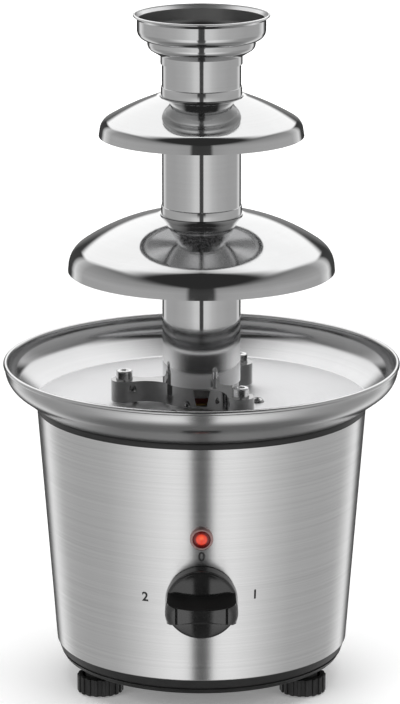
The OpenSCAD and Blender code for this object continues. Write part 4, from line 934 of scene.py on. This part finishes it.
lamp = {"bezelR": 5.4, "bezelH": 1.8, "bezelEdge": 0.6, "boreEdge": 0.3, "sleeveR": 4.6, "sleeveL": 6.0,
        "lensR": 4.1, "seat": 0.05, "face": 1.2, "dome": 1.2, "ribs": 16.0, "ribH": 0.05,
        "core": (0.52, 0.74), "rim": (0.5, 0.78), "sparkUp": 0.9, "sparkR": (0.3, 1.6), "sparkShare": 0.8,
        "rough": 0.18, "pores": 900.0, "roughPores": 0.1, "middleTint": (0.4, 0.03, 0.012, 1),
        "rimTint": (0.1, 0.003, 0.003, 1), "unlitTint": (0.02, 0.0005, 0.0005, 1),
        "litTint": (0.42, 0.024, 0.01, 1), "sparkTint": (0.62, 0.12, 0.035, 1)}


def lampGlow():
    material, shader, base = newMaterial("lampRedLens", {
        "Emission Strength": 1.0, "IOR": 1.5, "Coat Weight": 0.6, "Coat Roughness": 0.05})
    centre = onFront(housing["lampZ"]).to_translation()
    place = objectCoords(base)
    x, y, z = place.axes()
    up = (z - centre.z) / math.cos(lean)
    out = x.hypot(up) / (lamp["lensR"] * mm)
    ribs = base.math("SINE", base.math("ARCTAN2", x, up) * lamp["ribs"])
    core = 1 - out.eased(*lamp["core"])
    # painted highlight: a bright spot above the lens's centre, added to the glow
    paintedHighlight = 1 - (x.hypot(up - lamp["sparkUp"] * mm) / mm).eased(*lamp["sparkR"])
    glow = core.tinted(lamp["unlitTint"], lamp["litTint"])
    feed(shader,
         colour=out.eased(*lamp["rim"]).tinted(lamp["middleTint"], lamp["rimTint"]),
         glow=(paintedHighlight * lamp["sparkShare"]).tinted(glow, lamp["sparkTint"]),
         roughness=lamp["rough"] + place.noise(lamp["pores"]) * lamp["roughPores"],
         normal=(ribs * out).bumped(lamp["ribH"] * mm))
    return material


def lampRing():
    # the pink tint is a painted reflection of the lamp's red light on the bezel
    return plainMetal("lampBezelRing", {
        "grain": 2400.0, "patches": 400.0, "dark": (0.5, 0.31, 0.3, 1), "light": (0.62, 0.42, 0.4, 1),
        "rough": 0.36, "roughPatches": 0.1, "depth": 0.004})


def makeLamp():
    bore = lamp["lensR"] + lamp["seat"]
    low, top = -lamp["sleeveL"], lamp["bezelH"]
    edge, boreEdge = lamp["bezelEdge"], lamp["boreEdge"]
    bezel = revolve("lampBezel", [
        (bore, low), (lamp["sleeveR"], low), (lamp["sleeveR"], lamp["seat"]), (lamp["bezelR"], lamp["seat"]),
        *arcPath((lamp["bezelR"] - edge, top - edge), edge, 0, 90, 6),
        *arcPath((bore + boreEdge, top - boreEdge), boreEdge, 90, 180, 4)], 96)
    lens = revolve("lampLens", cleanPath(
        [(0, low), (lamp["lensR"], low)] + capPath(lamp["lensR"], lamp["dome"], lamp["face"], 12)), 96)
    for piece, node, finish in ((bezel, "lamp_bezel", lampRing()), (lens, "lamp_lens", lampGlow())):
        piece.data.transform(onFront(housing["lampZ"]))
        settle(piece, node, finish=finish)


knob = {"r": 17.0, "h": 21.2, "back": 0.6, "skirtH": 9.0, "skirtEdge": 1.6, "faceR": 76.0, "endW": 9.5,
        "waistW": 7.0, "draft": 8.0, "corner": 5.0, "cavityR": 14.6, "cavityH": 6.0, "overcut": 1.0,
        "hubR": 5.6, "hubZ": 5.2, "boreR": 3.05, "boreLow": 3.0, "boreTop": 16.2, "gripLow": 5.7,
        "gripEnd": 16.98, "endBlend": 40.0, "upperEdge": 0.6, "lowerEdge": 1.3, "leastEdge": 0.05,
        "edgeFade": 0.3, "edgeLean": 0.6, "grooveX": 11.7, "grooveZ": 19.6, "grooveW": 1.2, "grooveL": 40.0,
        "grooveH": 10.0, "flankUp": 0.8, "sharp": 40, "endTurn": 14.5, "endColumns": 24, "sideColumns": 120,
        "sideRows": 5, "edgeRows": 6, "faceRows": 10, "tries": 40, "leastOver": 0.001}


def bulgingEnd(height, edge, outer):
    # rounded edge, then the bulging face up to the axis
    across = outer - edge
    faceZ = height - knob["faceR"]
    edgeZ = faceZ + math.sqrt((knob["faceR"] - edge) ** 2 - across ** 2)
    turn = math.degrees(math.atan2(edgeZ - faceZ, across))
    return arcPath((across, edgeZ), edge, 0, turn, 12) + arcPath((0, faceZ), knob["faceR"], turn, 90, 12)[1:]


def gripSide(turn, z):
    # how far the waisted grip reaches in one direction at one height
    along = abs(math.cos(turn))
    over = max(abs(math.sin(turn)), knob["leastOver"])
    sag = (knob["endW"] - knob["waistW"]) / 2
    waistR = (knob["r"] ** 2 + sag ** 2) / (2 * sag)
    draft = math.radians(knob["draft"])
    reach = knob["r"]
    for step in range(knob["tries"]):
        x = min(reach * along, 2 * knob["r"])
        hollow = (waistR - math.sqrt(waistR ** 2 - x ** 2)) / math.cos(draft)
        reach = (knob["waistW"] / 2 + hollow + (knob["h"] - z) * math.tan(draft)) / over
    blend = knob["endBlend"]
    return (knob["gripEnd"] ** -blend + reach ** -blend) ** (-1 / blend)


def gripTop(r):
    # height of the grip's bulging face and of the corners at its ends
    across = knob["gripEnd"] - knob["corner"]
    faceZ = knob["h"] - knob["faceR"]
    if r < across * knob["faceR"] / (knob["faceR"] - knob["corner"]):
        return faceZ + math.sqrt(knob["faceR"] ** 2 - r ** 2)
    edgeZ = faceZ + math.sqrt((knob["faceR"] - knob["corner"]) ** 2 - across ** 2)
    return edgeZ + math.sqrt(max(knob["corner"] ** 2 - (r - across) ** 2, 0))


def gripPath(turn):
    # side, softened edge and face in one direction; the lower edge is rounder, so that it shows as a line
    foot = knob["gripLow"]
    low, high = foot, knob["h"]
    for step in range(knob["tries"]):
        z = (low + high) / 2
        low, high = (z, high) if gripTop(gripSide(turn, z)) > z else (low, z)
    edgeR = gripSide(turn, low)
    over = abs(math.sin(turn))
    edge = knob["upperEdge"] if math.sin(turn) > 0 else knob["lowerEdge"]
    soft = max(edge * min(over / knob["edgeFade"], 1) ** 2, knob["leastEdge"])
    inner = edgeR - soft / max(over, knob["edgeLean"])
    path = []
    for i in range(knob["sideRows"] + 1):
        z = foot + (low - soft - foot) * i / knob["sideRows"]
        path.append((gripSide(turn, z), z))
    path += softCorner(path[-1], (edgeR, low), (inner, gripTop(inner)), knob["edgeRows"])[1:-1]
    for i in range(knob["faceRows"]):
        r = inner * (1 - i / knob["faceRows"])
        path.append((r, gripTop(r)))
    return path


def makeGrip():
    # columns by angle round the two ends, and evenly along the two sides
    end = math.radians(knob["endTurn"])
    turns = []
    for i in range(knob["endColumns"]):
        turns.append(end * (2 * i / knob["endColumns"] - 1))
    for i in range(knob["sideColumns"]):
        turns.append(math.atan2(math.sin(end), math.cos(end) * (1 - 2 * i / knob["sideColumns"])))
    turns += [turn + math.pi for turn in turns]
    bm = bmesh.new()
    top = bm.verts.new((0, 0, knob["h"] * mm))
    columns = []
    for turn in turns:
        columns.append([bm.verts.new(Vector((r * math.cos(turn), r * math.sin(turn), z)) * mm)
                        for r, z in gripPath(turn)])
    for column, after in zip(columns, columns[1:] + columns[:1]):
        for i in range(len(column) - 1):
            bm.faces.new((column[i], after[i], after[i + 1], column[i + 1]))
        bm.faces.new((column[-1], after[-1], top))
    bm.faces.new([column[0] for column in reversed(columns)])
    bmesh.ops.recalc_face_normals(bm, faces=bm.faces)
    grip = meshPiece("cutter", bm)
    grooves = []
    for x in (-knob["grooveX"], knob["grooveX"]):
        centre = (x, 0, knob["grooveZ"] + knob["grooveH"] / 2)
        grooves.append(meshPiece("cutter", block(knob["grooveW"], knob["grooveL"], knob["grooveH"], centre)))
    combine(grip, grooves, "DIFFERENCE")
    return grip


def makeKnob():
    back, hubR, hubZ = knob["back"], knob["hubR"], knob["hubZ"]
    skirt = [(0, back), (knob["r"], back)] + bulgingEnd(knob["skirtH"], knob["skirtEdge"], knob["r"])
    piece = revolve("selectorKnob", skirt, 192)
    combine(piece, [makeGrip()], "UNION", knob["sharp"])
    under = back - knob["overcut"]
    cavity = revolve("cutter", [
        (0, under), (knob["cavityR"], under), (knob["cavityR"], knob["cavityH"]), (hubR, knob["cavityH"]),
        (hubR, hubZ), (0, hubZ)], 96)
    bore = rod(knob["boreR"], knob["boreLow"], knob["boreTop"])
    combine(piece, [cavity, bore], "DIFFERENCE", knob["sharp"])
    piece.data.transform(onFront(housing["knobZ"]))
    settle(piece, "knob")
    # the upward flank faces get the painted shade
    repaint(piece, finishes["knob_flank"], lambda face: (
        face.normal.z > knob["flankUp"] and 0 < face.center.z / mm - housing["knobZ"] < knob["endW"]))


numbers = {"height": 4.4, "capShare": 0.7, "heavy": 0.16, "ink": 0.03,
           "places": (("0", 0.0, 82.6), ("1", 25.5, 62.4), ("2", -27.0, 61.0))}


def printedInk():
    return moulded("numberInk", {
        "pores": 1500.0, "drift": 300.0, "dark": grey(0.012), "light": grey(0.03), "rough": 0.5,
        "roughDrift": 0.2, "depth": 0.004})


def makeNumbers():
    ink = printedInk()
    for figure, across, height in numbers["places"]:
        words = bpy.data.curves.new("dialNumber" + figure, "FONT")
        words.body = figure
        words.align_x = "CENTER"
        words.align_y = "CENTER"
        words.size = numbers["height"] / numbers["capShare"] * mm
        words.extrude = numbers["ink"] / 2 * mm
        words.offset = numbers["heavy"] * mm
        holder = bpy.data.objects.new("holder", words)
        bpy.context.scene.collection.objects.link(holder)
        view = bpy.context.evaluated_depsgraph_get()
        mesh = bpy.data.meshes.new_from_object(holder.evaluated_get(view))
        bpy.data.objects.remove(holder)
        for vertex in mesh.vertices:  # the flat figure is bent round the housing
            u, v, w = vertex.co / mm
            z = height + v * math.cos(lean)
            r = wallR(z) + numbers["ink"] / 2 + w
            turn = (across + u) / wallR(height)
            vertex.co = Vector((r * math.sin(turn), -r * math.cos(turn), z)) * mm
        bm = bmesh.new()
        bm.from_mesh(mesh)
        bmesh.ops.remove_doubles(bm, verts=bm.verts, dist=weld)
        bmesh.ops.recalc_face_normals(bm, faces=bm.faces)
        piece = meshPiece("dialNumber" + figure, bm)
        piece.data.materials.append(ink)
        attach(piece, "base_unit")


makeLamp()
makeKnob()
makeNumbers()
print("controls")


# Feet: a turned core with grip ribs round it

feet = {"circleR": 56.3, "turns": {"front_left": -150, "front_right": -30, "rear": 90}, "low": 0.6, "h": 8.4,
        "r": 11.1, "ribs": 18, "grooveD": 0.715, "ribRoot": 0.6, "landW": 1.82, "edge": 0.4, "hollowR": 8.6,
        "hollowZ": 4.0, "hubR": 5.8, "hubZ": 6.8, "boreR": 3.05, "boreZ": 3.4, "padR": 7.9, "padH": 1.8,
        "padEdge": 0.5, "recessR": 7.96, "recessZ": 1.86}


def footWheel(name):
    low, edge, depth = feet["low"], feet["edge"], feet["grooveD"] + feet["ribRoot"]
    core = feet["r"] - feet["grooveD"]
    high = low + feet["h"]
    wheel = revolve(name, [
        (0, feet["recessZ"]), (feet["recessR"], feet["recessZ"]), (feet["recessR"], low),
        *arcPath((core - edge, low + edge), edge, -90, 0, 4),
        *arcPath((core - edge, high - edge), edge, 0, 90, 4),
        (feet["hollowR"], high), (feet["hollowR"], feet["hollowZ"]), (feet["hubR"], feet["hollowZ"]),
        (feet["hubR"], feet["hubZ"]), (feet["boreR"], feet["hubZ"]), (feet["boreR"], feet["boreZ"]),
        (0, feet["boreZ"])], 144)
    bm = block(depth, feet["landW"], feet["h"], (feet["grooveD"] - depth / 2, 0, (low + high) / 2))
    outer = [rim for rim in bm.edges if all(corner.co.x > 0 for corner in rim.verts)]
    bmesh.ops.bevel(bm, geom=outer, offset=edge * mm, segments=3, profile=0.5, affect="EDGES")
    rib = meshPiece("gripRib", bm)
    ringOf(rib, feet["ribs"], core, 180 / feet["ribs"], finishes["black_moulding"])
    return join(wheel, rib)


def makeFeet():
    padR, padH, padEdge = feet["padR"], feet["padH"], feet["padEdge"]
    for side, turn in feet["turns"].items():
        spot = Vector((*pointAt((0, 0), feet["circleR"], turn), 0)) * mm
        place = Matrix.Translation(spot) @ Matrix.Rotation(math.radians(turn), 4, "Z")
        wheel = footWheel(side + "Wheel")
        pad = revolve(side + "Pad", [
            (0, 0), (padR - padEdge, 0), (padR, padEdge), (padR, padH), (0, padH)], 96)
        for piece, node in ((wheel, side + "_wheel"), (pad, side + "_pad")):
            piece.data.transform(place)
            settle(piece, node)


makeFeet()
print("feet")


# Lifting screw: a helical blade, as geometry nodes, on a turned core

auger = {"bladeZ": 142.0, "bladeTop": 300.0, "pitch": 32.0, "bladeR": 16.2, "bladeW": 4.0, "rootIn": 1.0,
         "coreR": 4.5, "hubR": 8.0, "lowZ": 140.8, "hubH": 17.0, "nose": 2.25, "socketW": 6.72,
         "socketL": 14.4, "overcut": 2.0, "steps": 420, "rows": 13, "tipBlunt": 1.18, "flankSteep": 6.0,
         "sharp": 40}


def bladeTree():
    tree, keys, wires = nodeTree("helicalBlade", {
        "Length": "Float", "Pitch": "Float", "Inner": "Float", "Outer": "Float", "Width": "Float",
        "Steps": "Int", "Material": "Material"})
    base, width, inner = wires["Length"], wires["Width"], wires["Inner"]
    grid = base.node("GeometryNodeMeshGrid", None, {
        "Size X": 1.0, "Size Y": 1.0, "Vertices X": wires["Steps"], "Vertices Y": auger["rows"]})
    x, y, z = base.node("GeometryNodeInputPosition").axes()
    along = x + 0.5
    lap = y * 2.0  # from one flank's root over the tip to the other's
    off = base.math("ABSOLUTE", lap)
    reach = base.math("MINIMUM", 1.0, (1 - off) * auger["tipBlunt"])
    near = base.math("MINIMUM", off, 1 - off)
    half = base.math("MINIMUM", 1.0, near * auger["flankSteep"]) * base.math("SIGN", lap) * width * 0.5
    ends = base.math("MINIMUM", along, 1 - along) * wires["Length"] / width
    half = half * base.math("MINIMUM", 1.0, ends)
    radius = inner + reach * (wires["Outer"] - inner)
    turn = along * wires["Length"] / wires["Pitch"] * math.tau
    sine = base.math("SINE", turn)
    cosine = base.math("COSINE", turn)
    place = base.vector(radius * cosine - half * sine, radius * sine + half * cosine, along * wires["Length"])
    bent = base.node("GeometryNodeSetPosition", None, {"Geometry": grid, "Position": place})
    closed = base.node("GeometryNodeMergeByDistance", None, {"Geometry": bent, "Distance": weld})
    closeTree(tree, closed, wires["Material"])
    return tree, keys


def makeBlade():
    tree, keys = bladeTree()
    blade = meshPiece("liftingBlade", bmesh.new())
    runTree(blade, tree, keys, {
        "Length": (auger["bladeTop"] - auger["bladeZ"]) * mm, "Pitch": auger["pitch"] * mm,
        "Inner": (auger["coreR"] - auger["rootIn"]) * mm, "Outer": auger["bladeR"] * mm,
        "Width": auger["bladeW"] * mm, "Steps": auger["steps"], "Material": finishes["screw_moulding"]},
        auger["sharp"])
    blade.data.transform(Matrix.Translation((0, 0, auger["bladeZ"] * mm)))
    bm = bmesh.new()
    bm.from_mesh(blade.data)
    bmesh.ops.recalc_face_normals(bm, faces=bm.faces)
    bm.to_mesh(blade.data)
    bm.free()
    return blade


def makeAuger():
    low, top, coreR, nose = auger["lowZ"], auger["bladeTop"], auger["coreR"], auger["nose"]
    hubTop = low + auger["hubH"]
    blade = makeBlade()
    core = revolve("liftingScrew", [
        (0, low), (auger["hubR"], low), (auger["hubR"], hubTop - (auger["hubR"] - coreR)), (coreR, hubTop),
        (coreR, top), *arcPath((coreR - nose, top), nose, 0, 90, 8), (0, top + nose)], 96)
    cornerR = auger["socketW"] / math.sqrt(3)
    under, end = low - auger["overcut"], low + auger["socketL"]
    socket = revolve("cutter", [(0, under), (cornerR, under), (cornerR, end), (0, end)], 6)
    combine(core, [socket], "DIFFERENCE")
    settle(join(core, blade), "auger")


makeAuger()
print("lifting screw")


# All other nodes keep their CAD shape, with shading that follows the round faces

others = sorted(set(frame["nodes"]) - dressed)
for node in others:
    words = node.split("_")
    settle(copyOf(node, words[0] + "".join(word.title() for word in words[1:])), node)
print("other pieces:", len(others))
